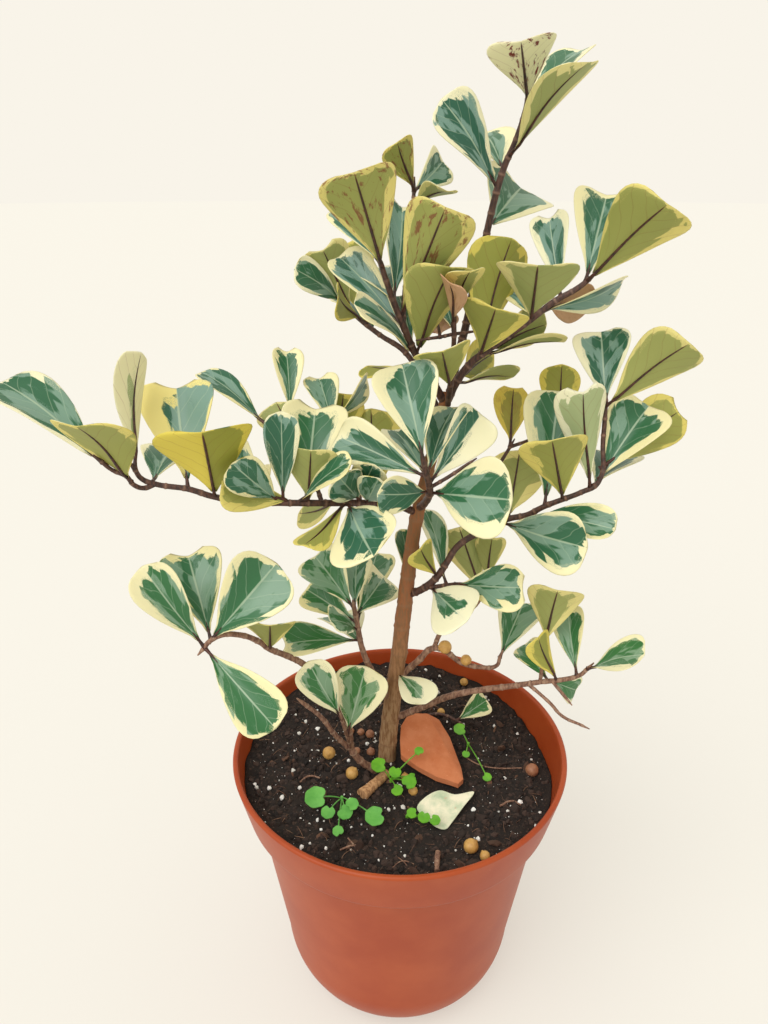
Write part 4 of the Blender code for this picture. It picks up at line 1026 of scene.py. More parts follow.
@dataclass(frozen=True)
class LeafFinish:
    """Waxy fig leaf: a thick cuticle gives a soft gloss above, and the underside is duller and olive."""

    dark: str = "#2F6650"
    dark_fresh: str = "#3F8238"
    grey: str = "#7FA396"
    grey_fresh: str = "#86A97C"
    cream: str = "#FCFADA"
    yellow: str = "#F2E27C"
    vein: str = "#BCD3B4"
    olive: str = "#A3A342"
    pale_under: str = "#B7C590"
    under_edge: str = "#E4D458"
    red: str = "#85382A"
    rib: str = "#5A2A1C"
    rust: str = "#C98A66"
    veins: float = 5.5
    gloss: float = 0.34
    dull: float = 0.55
    through: float = 0.2

    def material(self) -> bpy.types.Material:
        """Make the material, whose pattern follows each blade's own rib and veins."""
        made = bpy.data.materials.new("Waxy variegated fig leaf")
        made.use_nodes = True
        t = made.node_tree
        t.nodes.clear()
        spot = add(t, "ShaderNodeAttribute", {"attribute_name": "spot"}, (), "Vector")
        cut = add(t, "ShaderNodeSeparateXYZ", None, (spot,)).node
        u, v, side = cut.outputs
        reach = add(t, "ShaderNodeAttribute", {"attribute_name": "reach_of_green"}, (), "Vector")
        left, right, seed = add(t, "ShaderNodeSeparateXYZ", None, (reach,)).node.outputs
        shade = add(t, "ShaderNodeAttribute", {"attribute_name": "shade"}, (), "Vector")
        yellow, blush, under = add(t, "ShaderNodeSeparateXYZ", None, (shade,)).node.outputs
        apart = add(t, MATH, "MULTIPLY", (seed, 37.0))
        flat = add(t, "ShaderNodeCombineXYZ", None, (u, v, apart))
        wobble = add(t, MATH, "SUBTRACT", (add(t, NOISE, None, {"Vector": flat, "Scale": 2.4, "Detail": 1.0}), 0.5))
        jag = add(t, MATH, "SUBTRACT", (add(t, NOISE, None, {"Vector": flat, "Scale": 9.0, "Detail": 0.5}), 0.5))
        fresh = add(t, "ShaderNodeAttribute", {"attribute_name": "fresh"}, (), "Fac")
        rust = add(t, "ShaderNodeAttribute", {"attribute_name": "rust"}, (), "Fac")
        a = add(t, MATH, "ABSOLUTE", (u,))
        is_right = add(t, MATH, "GREATER_THAN", (u, 0.0))
        # Side veins run out and forward from the rib, so this is even along each of them
        run = add(t, MATH, "MULTIPLY_ADD", (a, -0.42, v))
        bent = add(t, MATH, "MULTIPLY_ADD", (wobble, 0.12, run))
        start = add(t, MATH, "MULTIPLY", (seed, 3.0))
        count = add(t, MATH, "MULTIPLY_ADD", (bent, self.veins, start))
        cell = add(t, "ShaderNodeCombineXYZ", None, (add(t, MATH, "FLOOR", (count,)), is_right, apart))
        chance = add(t, "ShaderNodeTexWhiteNoise", {"noise_dimensions": "3D"}, (cell,), "Color")
        one, two, _ = add(t, "ShaderNodeSeparateColor", None, (chance,)).node.outputs
        end = add(t, RANGE, None, {"Value": v, "From Min": 0.25, "From Max": 1.0})
        wide = add(t, MATH, "POWER", (a, 4.0))
        tall = add(t, MATH, "POWER", (end, 6.0))
        edge = add(t, MATH, "POWER", (add(t, MATH, "ADD", (wide, tall)), 0.25))
        own = add(t, MIX, None, (is_right, None, left, right))
        spread = add(t, MATH, "MULTIPLY_ADD", (add(t, MATH, "SUBTRACT", (one, 0.5)), 0.26, own))
        loose = add(t, MATH, "MULTIPLY_ADD", (wobble, 0.6, spread))
        extent = add(t, MATH, "MULTIPLY_ADD", (jag, 0.15, loose))
        past = add(t, MATH, "SUBTRACT", (edge, extent))
        green = add(t, RANGE, None, {"Value": past, "From Min": 0.015, "From Max": -0.015})
        patch = add(t, NOISE, None, {"Vector": flat, "Scale": 1.7, "Detail": 2.0})
        mottle = add(t, MATH, "MULTIPLY_ADD", (two, 0.16, add(t, MATH, "MULTIPLY_ADD", (jag, 0.12, patch))))
        dark = add(t, RANGE, None, {"Value": mottle, "From Min": 0.535, "From Max": 0.565})
        near = add(t, MATH, "FRACT", (count,))
        away = add(t, MATH, "MINIMUM", (near, add(t, MATH, "SUBTRACT", (1.0, near))))
        thin = add(t, RANGE, None, {"Value": away, "From Min": 0.05, "From Max": 0.012})
        # The midrib narrows from the stalk to the tip
        taper = add(t, MATH, "DIVIDE", (a, add(t, MATH, "SUBTRACT", (1.25, v))))
        thick = add(t, RANGE, None, {"Value": taper, "From Min": 0.06, "From Max": 0.03})
        vein = add(t, MATH, "MAXIMUM", (add(t, MATH, "MULTIPLY", (thin, 0.28)), add(t, MATH, "MULTIPLY", (thick, 0.7))))
        rgb = {"data_type": "RGBA"}
        margin = add(t, MIX, rgb, {0: yellow, 6: linear(self.cream), 7: linear(self.yellow)}, 2)
        deep = add(t, MIX, rgb, {0: fresh, 6: linear(self.dark), 7: linear(self.dark_fresh)}, 2)
        light = add(t, MIX, rgb, {0: fresh, 6: linear(self.grey), 7: linear(self.grey_fresh)}, 2)
        body = add(t, MIX, rgb, {0: dark, 6: light, 7: deep}, 2)
        lined = add(t, MIX, rgb, {0: vein, 6: body, 7: linear(self.vein)}, 2)
        top = add(t, MIX, rgb, {0: green, 6: margin, 7: lined}, 2)
        low_body = add(t, MIX, rgb, {0: under, 6: linear(self.pale_under), 7: linear(self.olive)}, 2)
        low_edge = add(t, MIX, rgb, {0: under, 6: linear(self.cream), 7: linear(self.under_edge)}, 2)
        low = add(t, MIX, rgb, {0: green, 6: low_edge, 7: low_body}, 2)
        low_veined = add(t, MIX, rgb, {0: add(t, MATH, "MULTIPLY", (thin, 0.22)), 6: low, 7: linear(self.red)}, 2)
        low_rib = add(t, MATH, "MULTIPLY", (thick, add(t, RANGE, None, {"Value": v, "From Min": 0.97, "From Max": 0.8})))
        low_lined = add(t, MIX, rgb, {0: low_rib, 6: low_veined, 7: linear(self.rib)}, 2)
        upper = add(t, MATH, "GREATER_THAN", (side, 0.0))
        both = add(t, MIX, rgb, {0: upper, 6: low_lined, 7: top}, 2)
        spots = add(t, NOISE, None, {"Vector": flat, "Scale": 6.0, "Detail": 6.0, "Roughness": 0.65})
        blot = add(t, MATH, "MULTIPLY", (add(t, RANGE, None, {"Value": spots, "From Min": 0.55, "From Max": 0.61}), blush))
        spotted = add(t, MIX, rgb, {0: blot, 6: both, 7: linear(self.red)}, 2)
        colour = add(t, MIX, rgb, {0: rust, 6: spotted, 7: linear(self.rust)}, 2)
        rough = add(t, MIX, None, (upper, None, self.dull, self.gloss))
        bump = add(t, "ShaderNodeBump", None, {"Strength": 0.25, "Distance": 0.4 * MM, "Height": vein}, "Normal")
        shader = add(t, "ShaderNodeBsdfPrincipled", None, {"Base Color": colour, "Roughness": rough, "Normal": bump})
        glow = add(t, "ShaderNodeBsdfTranslucent", None, {"Color": colour})
        mixed = add(t, "ShaderNodeMixShader", None, (self.through, shader, glow))
        add(t, "ShaderNodeOutputMaterial", None, {"Surface": mixed})
        return made


@dataclass(frozen=True)
class BarkFinish:
    """Young woody bark, dry and matt, with paler rings where leaves have dropped."""

    name: str
    base: str
    crack: str
    ring: str
    cracks: float
    stretch: float = 5.0
    rough: float = 0.72
    high: str = ""
    high_from: float = 0.19
    high_to: float = 0.26

    def material(self) -> bpy.types.Material:
        """Make the material. Cracks run along the stem, so the pattern is stretched upward."""
        made = bpy.data.materials.new(self.name)
        made.use_nodes = True
        t = made.node_tree
        shader = t.nodes["Principled BSDF"]
        place = add(t, "ShaderNodeTexCoord", None, (), "Object")
        long = add(t, "ShaderNodeMapping", None, {"Vector": place, "Scale": (1.0, 1.0, 1 / self.stretch)})
        grain = add(t, NOISE, None, {"Vector": long, "Scale": 1 / self.cracks, "Detail": 6.0, "Roughness": 0.6})
        depth = add(t, RANGE, None, {"Value": grain, "From Min": 0.42, "From Max": 0.58})
        rgb = {"data_type": "RGBA"}
        height = add(t, "ShaderNodeSeparateXYZ", None, (place,)).node.outputs[2]
        risen = add(t, RANGE, None, {"Value": height, "From Min": self.high_from, "From Max": self.high_to})
        skin = add(t, MIX, rgb, {0: risen, 6: linear(self.base), 7: linear(self.high or self.base)}, 2)
        wood = add(t, MIX, rgb, {0: depth, 6: linear(self.crack), 7: skin}, 2)
        ring = add(t, "ShaderNodeAttribute", {"attribute_name": "ring"}, (), "Fac")
        colour = add(t, MIX, rgb, {0: add(t, MATH, "MULTIPLY", (ring, 0.6)), 6: wood, 7: linear(self.ring)}, 2)
        bump = add(t, "ShaderNodeBump", None, {"Strength": 0.5, "Distance": 0.4 * MM, "Height": grain}, "Normal")
        t.links.new(colour, shader.inputs["Base Color"])
        t.links.new(bump, shader.inputs["Normal"])
        shader.inputs["Roughness"].default_value = self.rough
        return made


@dataclass(frozen=True)
class MottledFinish:
    """A matt or satin body colour, mottled with a second colour and specked with a third."""

    name: str
    base: str
    second: str
    speck: str
    patch: float
    grit: float
    specks: float = 0.66
    rough: float = 0.8
    dent: float = 0.2
    shine: float = 0.5

    def material(self) -> bpy.types.Material:
        """Make the material, with patches and grit of real sizes in metres."""
        made = bpy.data.materials.new(self.name)
        made.use_nodes = True
        t = made.node_tree
        shader = t.nodes["Principled BSDF"]
        place = add(t, "ShaderNodeTexCoord", None, (), "Object")
        patch = add(t, NOISE, None, {"Vector": place, "Scale": 1 / self.patch, "Detail": 5.0, "Roughness": 0.6})
        grit = add(t, NOISE, None, {"Vector": place, "Scale": 1 / self.grit, "Detail": 3.0})
        amount = add(t, RANGE, None, {"Value": patch, "From Min": 0.35, "From Max": 0.68})
        fleck = add(t, RANGE, None, {"Value": grit, "From Min": self.specks, "From Max": self.specks + 0.05})
        rgb = {"data_type": "RGBA"}
        body = add(t, MIX, rgb, {0: amount, 6: linear(self.base), 7: linear(self.second)}, 2)
        colour = add(t, MIX, rgb, {0: fleck, 6: body, 7: linear(self.speck)}, 2)
        bump = add(t, "ShaderNodeBump", None, {"Strength": self.dent, "Distance": 0.3 * MM, "Height": grit}, "Normal")
        t.links.new(colour, shader.inputs["Base Color"])
        t.links.new(bump, shader.inputs["Normal"])
        shader.inputs["Roughness"].default_value = self.rough
        shader.inputs["Specular IOR Level"].default_value = self.shine
        return made


@dataclass(frozen=True)
class ToneFinish:
    """Loose bits that differ from one to the next, each between two colours by its own tone."""

    name: str
    first: str
    last: str
    rough: float = 0.9

    def material(self) -> bpy.types.Material:
        """Make the material, which reads each bit's stored tone."""
        made = bpy.data.materials.new(self.name)
        made.use_nodes = True
        t = made.node_tree
        shader = t.nodes["Principled BSDF"]
        tone = add(t, "ShaderNodeAttribute", {"attribute_name": "tone"}, (), "Fac")
        colour = add(t, MIX, {"data_type": "RGBA"}, {0: tone, 6: linear(self.first), 7: linear(self.last)}, 2)
        t.links.new(colour, shader.inputs["Base Color"])
        shader.inputs["Roughness"].default_value = self.rough
        return made


# A waxy cuticle: dark grey-green with a soft gloss inside an irregular cream margin
LEAF = LeafFinish()
# Dry and matt: tan wood split by fine fissures that run up it, redder towards the fork
TRUNK_BARK = BarkFinish("Fissured tan fig bark", "#A98762", "#86603F", "#8F6A4B", 1.3 * MM, 6.0, 0.8, "#99603A")
# Smooth dark chocolate shoots with pale rings where leaves have dropped
STEM_BARK = BarkFinish("Young brown fig bark", "#5A3A2E", "#38241E", "#A07C66", 1.3 * MM, 3.0, 0.55)
# Older shoots by the soil, bleached to a greyer brown
LOW_BARK = BarkFinish("Older grey-brown fig bark", "#96725C", "#6B4A3B", "#B79B84", 1.3 * MM, 3.5, 0.7)
# Wood without its bark, pale and dry
STUB_WOOD = BarkFinish("Weathered bare wood", "#C79A6C", "#9A6E49", "#B98A5E", 1.6 * MM, 3.0, 0.8)
# Nearly black-brown lines under the leaves
RIB_BARK = BarkFinish("Dark leaf rib", "#4E281B", "#2E1711", "#4A2418", 2 * MM, 1.0, 0.5)
# Moulded plastic: an even orange-red with a weak sheen and faint paler scuffs
POT_PLASTIC = MottledFinish("Moulded terracotta-coloured plastic", "#9C3D16", "#A84B22", "#B9714F", 42 * MM,
                            2.4 * MM, 0.76, 0.42, 0.04, 0.3)
# Wet peat: almost black and without gloss
POTTING_MIX = MottledFinish("Damp potting mix", "#261C16", "#140E0B", "#45342A", 7 * MM, 1.4 * MM, 0.6, 0.95, 1.0)
# Fired clay without glaze: powdery orange with paler grains of grit
BROKEN_CLAY = MottledFinish("Unglazed fired clay", "#C67A50", "#B9683D", "#DDA27C", 9 * MM, 0.9 * MM, 0.7, 0.9, 0.3)
# Dried skin: matt ochre, darker where it has wrinkled
FIG_SKIN = MottledFinish("Ochre dried fig skin", "#D0A45C", "#B48544", "#8A5A30", 3 * MM, 0.8 * MM, 0.7, 0.5, 0.25)
# The same skin, older and browner
BROWN_FIG_SKIN = MottledFinish("Brown dried fig skin", "#A87656", "#8A583E", "#6E4230", 3 * MM, 0.8 * MM, 0.7, 0.5, 0.25)
# A leaf that has lost most of its green: cream with a faded grey-green patch
FALLEN = MottledFinish("Faded fallen leaf", "#F4EED2", "#AEC4A0", "#CDB893", 11 * MM, 5 * MM, 0.68, 0.4, 0.05)
# Thin young leaves: the brightest green in the pot
WEED_LEAF = MottledFinish("Bright seedling leaf", "#6DB22C", "#579C26", "#93CC60", 6 * MM, 1.2 * MM, 0.72, 0.38, 0.1)
# The seedling leaves that have grown longest, a deeper green
OLD_WEED_LEAF = MottledFinish("Deeper seedling leaf", "#58A045", "#6DB553", "#93C67E", 6 * MM, 1.2 * MM, 0.72, 0.38, 0.1)
# Crumbs from near black to brown, so the soil looks loose
CRUMB = ToneFinish("Crumbs of potting mix", "#17100D", "#43322A")
# Thin straw-brown threads
FIBRE = ToneFinish("Dead root fibres", "#5B4032", "#9A765C", 0.9)
# Chalk-white grains, the lightest specks in the soil
PERLITE = ToneFinish("Expanded perlite", "#D3D0C8", "#FAF9F5", 0.85)
# Flakes of bark that catch the light a little more than the crumbs
CHIP = ToneFinish("Bark chips", "#2A1C16", "#6B4B38", 0.85)
# The colours of the light table and of what lies beyond it
FLOOR_PAPER = "#A9A8A3"
BACKDROP = "#F9F4E9"


class Outline(Enum):
    """How a fig leaf ends: rounded, cut straight across, or notched like a heart."""

    ROUND = (1.0, 0.98, 0.44)
    STRAIGHT = (0.985, 0.984, 0.5)
    HEART = (0.93, 0.99, 0.5)


@dataclass(frozen=True)
class LeafShape:
    """The form that every leaf is drawn from: its outline, thickness, folds and ribs."""

    thick: float = 0.5 * MM
    rib: float = 0.8 * MM
    trough: float = 1.25
    wave: float = 0.05
    columns: tuple[float, ...] = (-1.0, -0.965, -0.84, -0.58, -0.29, 0.0, 0.29, 0.58, 0.84, 0.965, 1.0)
    # Share of the length at the edge, and share of the half width there
    edge: tuple[tuple[float, float], ...] = (
        (-0.08, 0.06), (0.02, 0.15), (0.11, 0.28), (0.2, 0.42), (0.3, 0.56), (0.4, 0.69), (0.5, 0.8), (0.6, 0.895),
        (0.69, 0.965), (0.77, 0.995), (0.84, 0.975), (0.895, 0.91), (0.935, 0.81), (0.965, 0.66))
    rib_sides: int = 6
    # Share of the rib's length, and share of its radius there
    rib_sizes: tuple[tuple[float, float], ...] = (
        (0.0, 1.7), (0.035, 1.25), (0.08, 1.0), (0.17, 0.95), (0.3, 0.86), (0.42, 0.76), (0.54, 0.66), (0.66, 0.56),
        (0.78, 0.47), (0.9, 0.38), (1.0, 0.25))
    rib_end: float = 0.9

    def pattern(self, outline: Outline) -> bpy.types.Object:
        """Make one leaf in its own units, for the tree to bend on each leaf's place.

        Args:
            outline: How it ends.

        Returns:
            An object whose corners hold across, along and through, with the attributes that the tree reads.
        """
        rib_tip, edge_tip, half_tip = outline.value
        rows = [*self.edge, (edge_tip, half_tip)]
        last = len(rows) - 1
        points: list[Vector] = []
        spots: list[tuple[float, float, float]] = []
        lifts: list[float] = []
        ribs: list[float] = []
        index: dict[tuple[int, int, int], int] = {}
        for row, (edge, half) in enumerate(rows):
            middle = edge + (rib_tip - edge_tip) * (row / last) ** 2
            for column, u in enumerate(self.columns):
                rim = row in (0, last) or column in (0, len(self.columns) - 1)
                for side in (1, -1):
                    if rim and side == -1:
                        index[row, column, side] = index[row, column, 1]
                        continue
                    index[row, column, side] = len(points)
                    y = middle + (edge - middle) * abs(u) ** 1.6
                    points.append(Vector((u * half, PETIOLE_SHARE + (1 - PETIOLE_SHARE) * y, 0 if rim else side)))
                    spots.append((u, row / last, 0 if rim else side))
                    lifts.append(half * abs(u) ** self.trough)
                    ribs.append(0)
        faces: list[tuple[int, ...]] = []
        for row in range(last):
            for column in range(len(self.columns) - 1):
                corners = [(row, column), (row, column + 1), (row + 1, column + 1), (row + 1, column)]
                off_rim = [at for at, (r, c) in enumerate(corners) if index[r, c, 1] != index[r, c, -1]]
                cells = [corners]
                if len(off_rim) == 1:
                    # Both halves of a corner reach in from the rim, or the two sides would share a face
                    a, b, c, d = corners[off_rim[0]:] + corners[:off_rim[0]]
                    cells = [[a, b, c], [a, c, d]]
                for cell in cells:
                    faces.append(tuple(index[r, c, 1] for r, c in cell))
                    faces.append(tuple(index[r, c, -1] for r, c in reversed(cell)))
        self.add_rib(points, spots, lifts, ribs, faces)
        made = piece_of("leaf_pattern", Form(points, faces))
        self.store(made, {"cell": points, "spot": spots, "lift": lifts, "rib": ribs})
        made.data.shade_smooth()
        return made

    def add_rib(self, points: list[Vector], spots: list, lifts: list, ribs: list, faces: list) -> None:
        """Add the stalk, which runs on under the blade as its rib, in units of the rib's radius."""
        start = len(points)
        end = PETIOLE_SHARE + (1 - PETIOLE_SHARE) * self.rib_end
        for share, size in self.rib_sizes:
            y = end * share
            sunk = min(max((y - PETIOLE_SHARE * 0.7) / (PETIOLE_SHARE * 0.6), 0), 1) * max(size - 0.2, 0)
            for turn in range(self.rib_sides):
                angle = math.tau * turn / self.rib_sides
                points.append(Vector((size * math.cos(angle), y, size * math.sin(angle) - sunk)))
                spots.append((0.0, share, 0.0))
                lifts.append(0.0)
                ribs.append(1.0)
        sides = self.rib_sides
        faces.append(tuple(range(start, start + sides)))
        for ring in range(len(self.rib_sizes) - 1):
            for turn in range(sides):
                here = start + ring * sides + turn
                beside = start + ring * sides + (turn + 1) % sides
                faces.append((here, here + sides, beside + sides, beside))
        faces.append(tuple(range(len(points) - sides, len(points)))[::-1])

    def store(self, made: bpy.types.Object, values: dict[str, list]) -> None:
        """Keep lists of numbers or triples on an object's points, by name."""
        for name, numbers in values.items():
            triple = isinstance(numbers[0], (tuple, Vector))
            held = made.data.attributes.new(name, "FLOAT_VECTOR" if triple else "FLOAT", "POINT")
            flat = [part for number in numbers for part in number] if triple else numbers
            held.data.foreach_set("vector" if triple else "value", flat)


@dataclass
class LeafGrower:
    """Geometry Nodes that put a leaf on each foot and bend it along its own rib."""

    shape: LeafShape
    leaf: bpy.types.Material
    rib: bpy.types.Material
    growth: Growth = field(init=False)

    def __post_init__(self) -> None:
        """Make the leaf patterns and the tree."""
        patterns = bpy.data.collections.new("leaf_patterns")
        bpy.context.scene.collection.children.link(patterns)
        for outline in Outline:
            made = self.shape.pattern(outline)
            bpy.context.scene.collection.objects.unlink(made)
            patterns.objects.link(made)
            made.hide_render = True
        self.growth = Growth("Leaves on a stem", {
            "Patterns": patterns, "Thickness": self.shape.thick, "Fold": FOLD, "Arch share": ARCH_SHARE,
            "Wave share": self.shape.wave, "Rib radius": self.shape.rib, "Stalk share": PETIOLE_SHARE,
            "Leaf finish": self.leaf, "Rib finish": self.rib})
        t = self.growth.tree
        given = self.growth.given
        held = {name: add(t, STORED, {"data_type": kind}, (name,)) for name, kind in (
            ("foot", "FLOAT_VECTOR"), ("along", "FLOAT_VECTOR"), ("right", "FLOAT_VECTOR"), ("up", "FLOAT_VECTOR"),
            ("long", "FLOAT"), ("half", "FLOAT"), ("apart", "FLOAT"), ("which", "INT"), ("rib", "FLOAT"),
            ("lift", "FLOAT"), ("spot", "FLOAT_VECTOR"), ("cell", "FLOAT_VECTOR"), ("steep", "FLOAT"))}
        parts = add(t, "GeometryNodeCollectionInfo", None, {"Collection": given["Patterns"], "Separate Children": True,
                                                            "Reset Children": True})
        put = add(t, "GeometryNodeInstanceOnPoints", None, {
            "Points": given["Geometry"], "Instance": parts, "Pick Instance": True, "Instance Index": held["which"]})
        real = add(t, "GeometryNodeRealizeInstances", None, (put,))
        x, y, z = add(t, "ShaderNodeSeparateXYZ", None, (held["cell"],)).node.outputs
        u, v, _ = add(t, "ShaderNodeSeparateXYZ", None, (held["spot"],)).node.outputs
        level = add(t, MATH, "MULTIPLY", (given["Fold"], held["steep"]))
        flat = add(t, MATH, "MULTIPLY", (held["half"], add(t, MATH, "COSINE", (level,))))
        wide = add(t, MIX, None, (held["rib"], None, flat, given["Rib radius"]))
        half_thick = add(t, MATH, "MULTIPLY", (given["Thickness"], 0.5))
        deep = add(t, MIX, None, (held["rib"], None, half_thick, given["Rib radius"]))
        out = add(t, MATH, "MULTIPLY", (x, wide))
        on = add(t, MATH, "MULTIPLY", (y, held["long"]))
        past = add(t, MATH, "SUBTRACT", (y, given["Stalk share"]))
        blade_share = add(t, MATH, "SUBTRACT", (1.0, given["Stalk share"]))
        share = add(t, MATH, "DIVIDE", (add(t, MATH, "MAXIMUM", (past, 0.0)), blade_share))
        bow = add(t, MATH, "SINE", (add(t, MATH, "MULTIPLY", (share, math.pi)),))
        blade_long = add(t, MATH, "MULTIPLY", (held["long"], blade_share))
        arch = add(t, MATH, "MULTIPLY", (add(t, MATH, "MULTIPLY", (bow, given["Arch share"])), blade_long))
        rise = add(t, MATH, "MULTIPLY", (add(t, MATH, "MULTIPLY", (held["lift"], held["half"])),
                                         add(t, MATH, "SINE", (level,))))
        turn = add(t, MATH, "MULTIPLY_ADD", (v, 7.5, add(t, MATH, "MULTIPLY", (held["apart"], 40.0))))
        sway = add(t, MATH, "SINE", (add(t, MATH, "MULTIPLY_ADD", (u, 1.3, turn)),))
        reach = add(t, MATH, "MULTIPLY", (add(t, MATH, "MULTIPLY", (u, u)), held["half"]))
        wave = add(t, MATH, "MULTIPLY", (add(t, MATH, "MULTIPLY", (sway, reach)), given["Wave share"]))
        through = add(t, MATH, "MULTIPLY_ADD", (z, deep, wave))
        high = add(t, MATH, "ADD", (add(t, MATH, "ADD", (arch, rise)), through))
        way = add(t, VECTOR, "SCALE", {"Vector": held["along"], "Scale": on})
        across = add(t, VECTOR, "SCALE", {"Vector": held["right"], "Scale": out})
        upward = add(t, VECTOR, "SCALE", {"Vector": held["up"], "Scale": high})
        there = add(t, VECTOR, "ADD", (held["foot"], way))
        beside = add(t, VECTOR, "ADD", (across, upward))
        place = add(t, VECTOR, "ADD", (there, beside))
        bent = add(t, "GeometryNodeSetPosition", None, {"Geometry": real, "Position": place})
        clean = bent
        for name in ("foot", "along", "right", "up", "long", "half", "apart", "which", "lift", "cell", "steep"):
            clean = add(t, "GeometryNodeRemoveAttribute", None, {"Geometry": clean, "Name": name})
        leafy = add(t, "GeometryNodeSetMaterial", None, {"Geometry": clean, "Material": given["Leaf finish"]})
        is_rib = add(t, "FunctionNodeCompare", {"data_type": "FLOAT", "operation": "GREATER_THAN"},
                     {0: held["rib"], 1: 0.5})
        both = add(t, "GeometryNodeSetMaterial", None, {"Geometry": leafy, "Selection": is_rib,
                                                        "Material": given["Rib finish"]})
        self.growth.end(both)

    def leaves(self, name: str, blades: Sequence[Blade]) -> bpy.types.Object:
        """Grow the leaves of one stem.

        Args:
            name: The name of the piece.
            blades: Where each leaf is, which way it looks, and how it is coloured.

        Returns:
            The leaves as one mesh.
        """
        chance = random.Random(f"{SEED} {name}")
        points = piece_of(name + "_feet", Form([blade.foot for blade in blades], []))
        values: dict[str, list] = {key: [] for key in ("foot", "along", "right", "up", "long", "half", "apart",
                                                       "steep", "reach_of_green", "shade", "fresh", "rust")}
        which = []
        for blade in blades:
            reach = blade.tip - blade.foot
            along = reach.normalized()
            tint = TINTS[blade.look]
            apart = chance.random()
            vary = chance.uniform(-0.1, 0.12) if blade.look is Look.USUAL else 0
            lop = chance.uniform(-0.1, 0.1) if blade.look is Look.USUAL else 0
            values["foot"].append(blade.foot)
            values["along"].append(along)
            values["right"].append(along.cross(blade.up))
            values["up"].append(blade.up)
            values["long"].append(reach.length)
            values["half"].append(blade.wide / 2)
            values["apart"].append(apart)
            faced = abs(blade.up.dot((VIEWER.at() - blade.foot).normalized()))
            edge_on = faced < 0.8 or blade.look is Look.CREAM_RED
            values["steep"].append(chance.uniform(0.4, 0.6) if edge_on else chance.uniform(0.8, 1.05))
            values["rust"].append(tint.rust)
            values["fresh"].append(min(max((0.36 - blade.foot.z) / 0.2, 0), 1) * 0.7 + chance.uniform(0, 0.3))
            values["reach_of_green"].append((tint.left + vary + lop, tint.right + vary - lop, apart))
            values["shade"].append((min(max(tint.yellow + chance.uniform(-0.2, 0.25), 0), 1), tint.blush,
                                    min(max(tint.under + chance.uniform(-0.25, 0.2), 0), 1)))
            which.append(0 if edge_on else chance.choice((0, 0, 1, 2, 2)))
        self.shape.store(points, values)
        held = points.data.attributes.new("which", "INT", "POINT")
        held.data.foreach_set("value", which)
        return self.growth.grown(points, name)


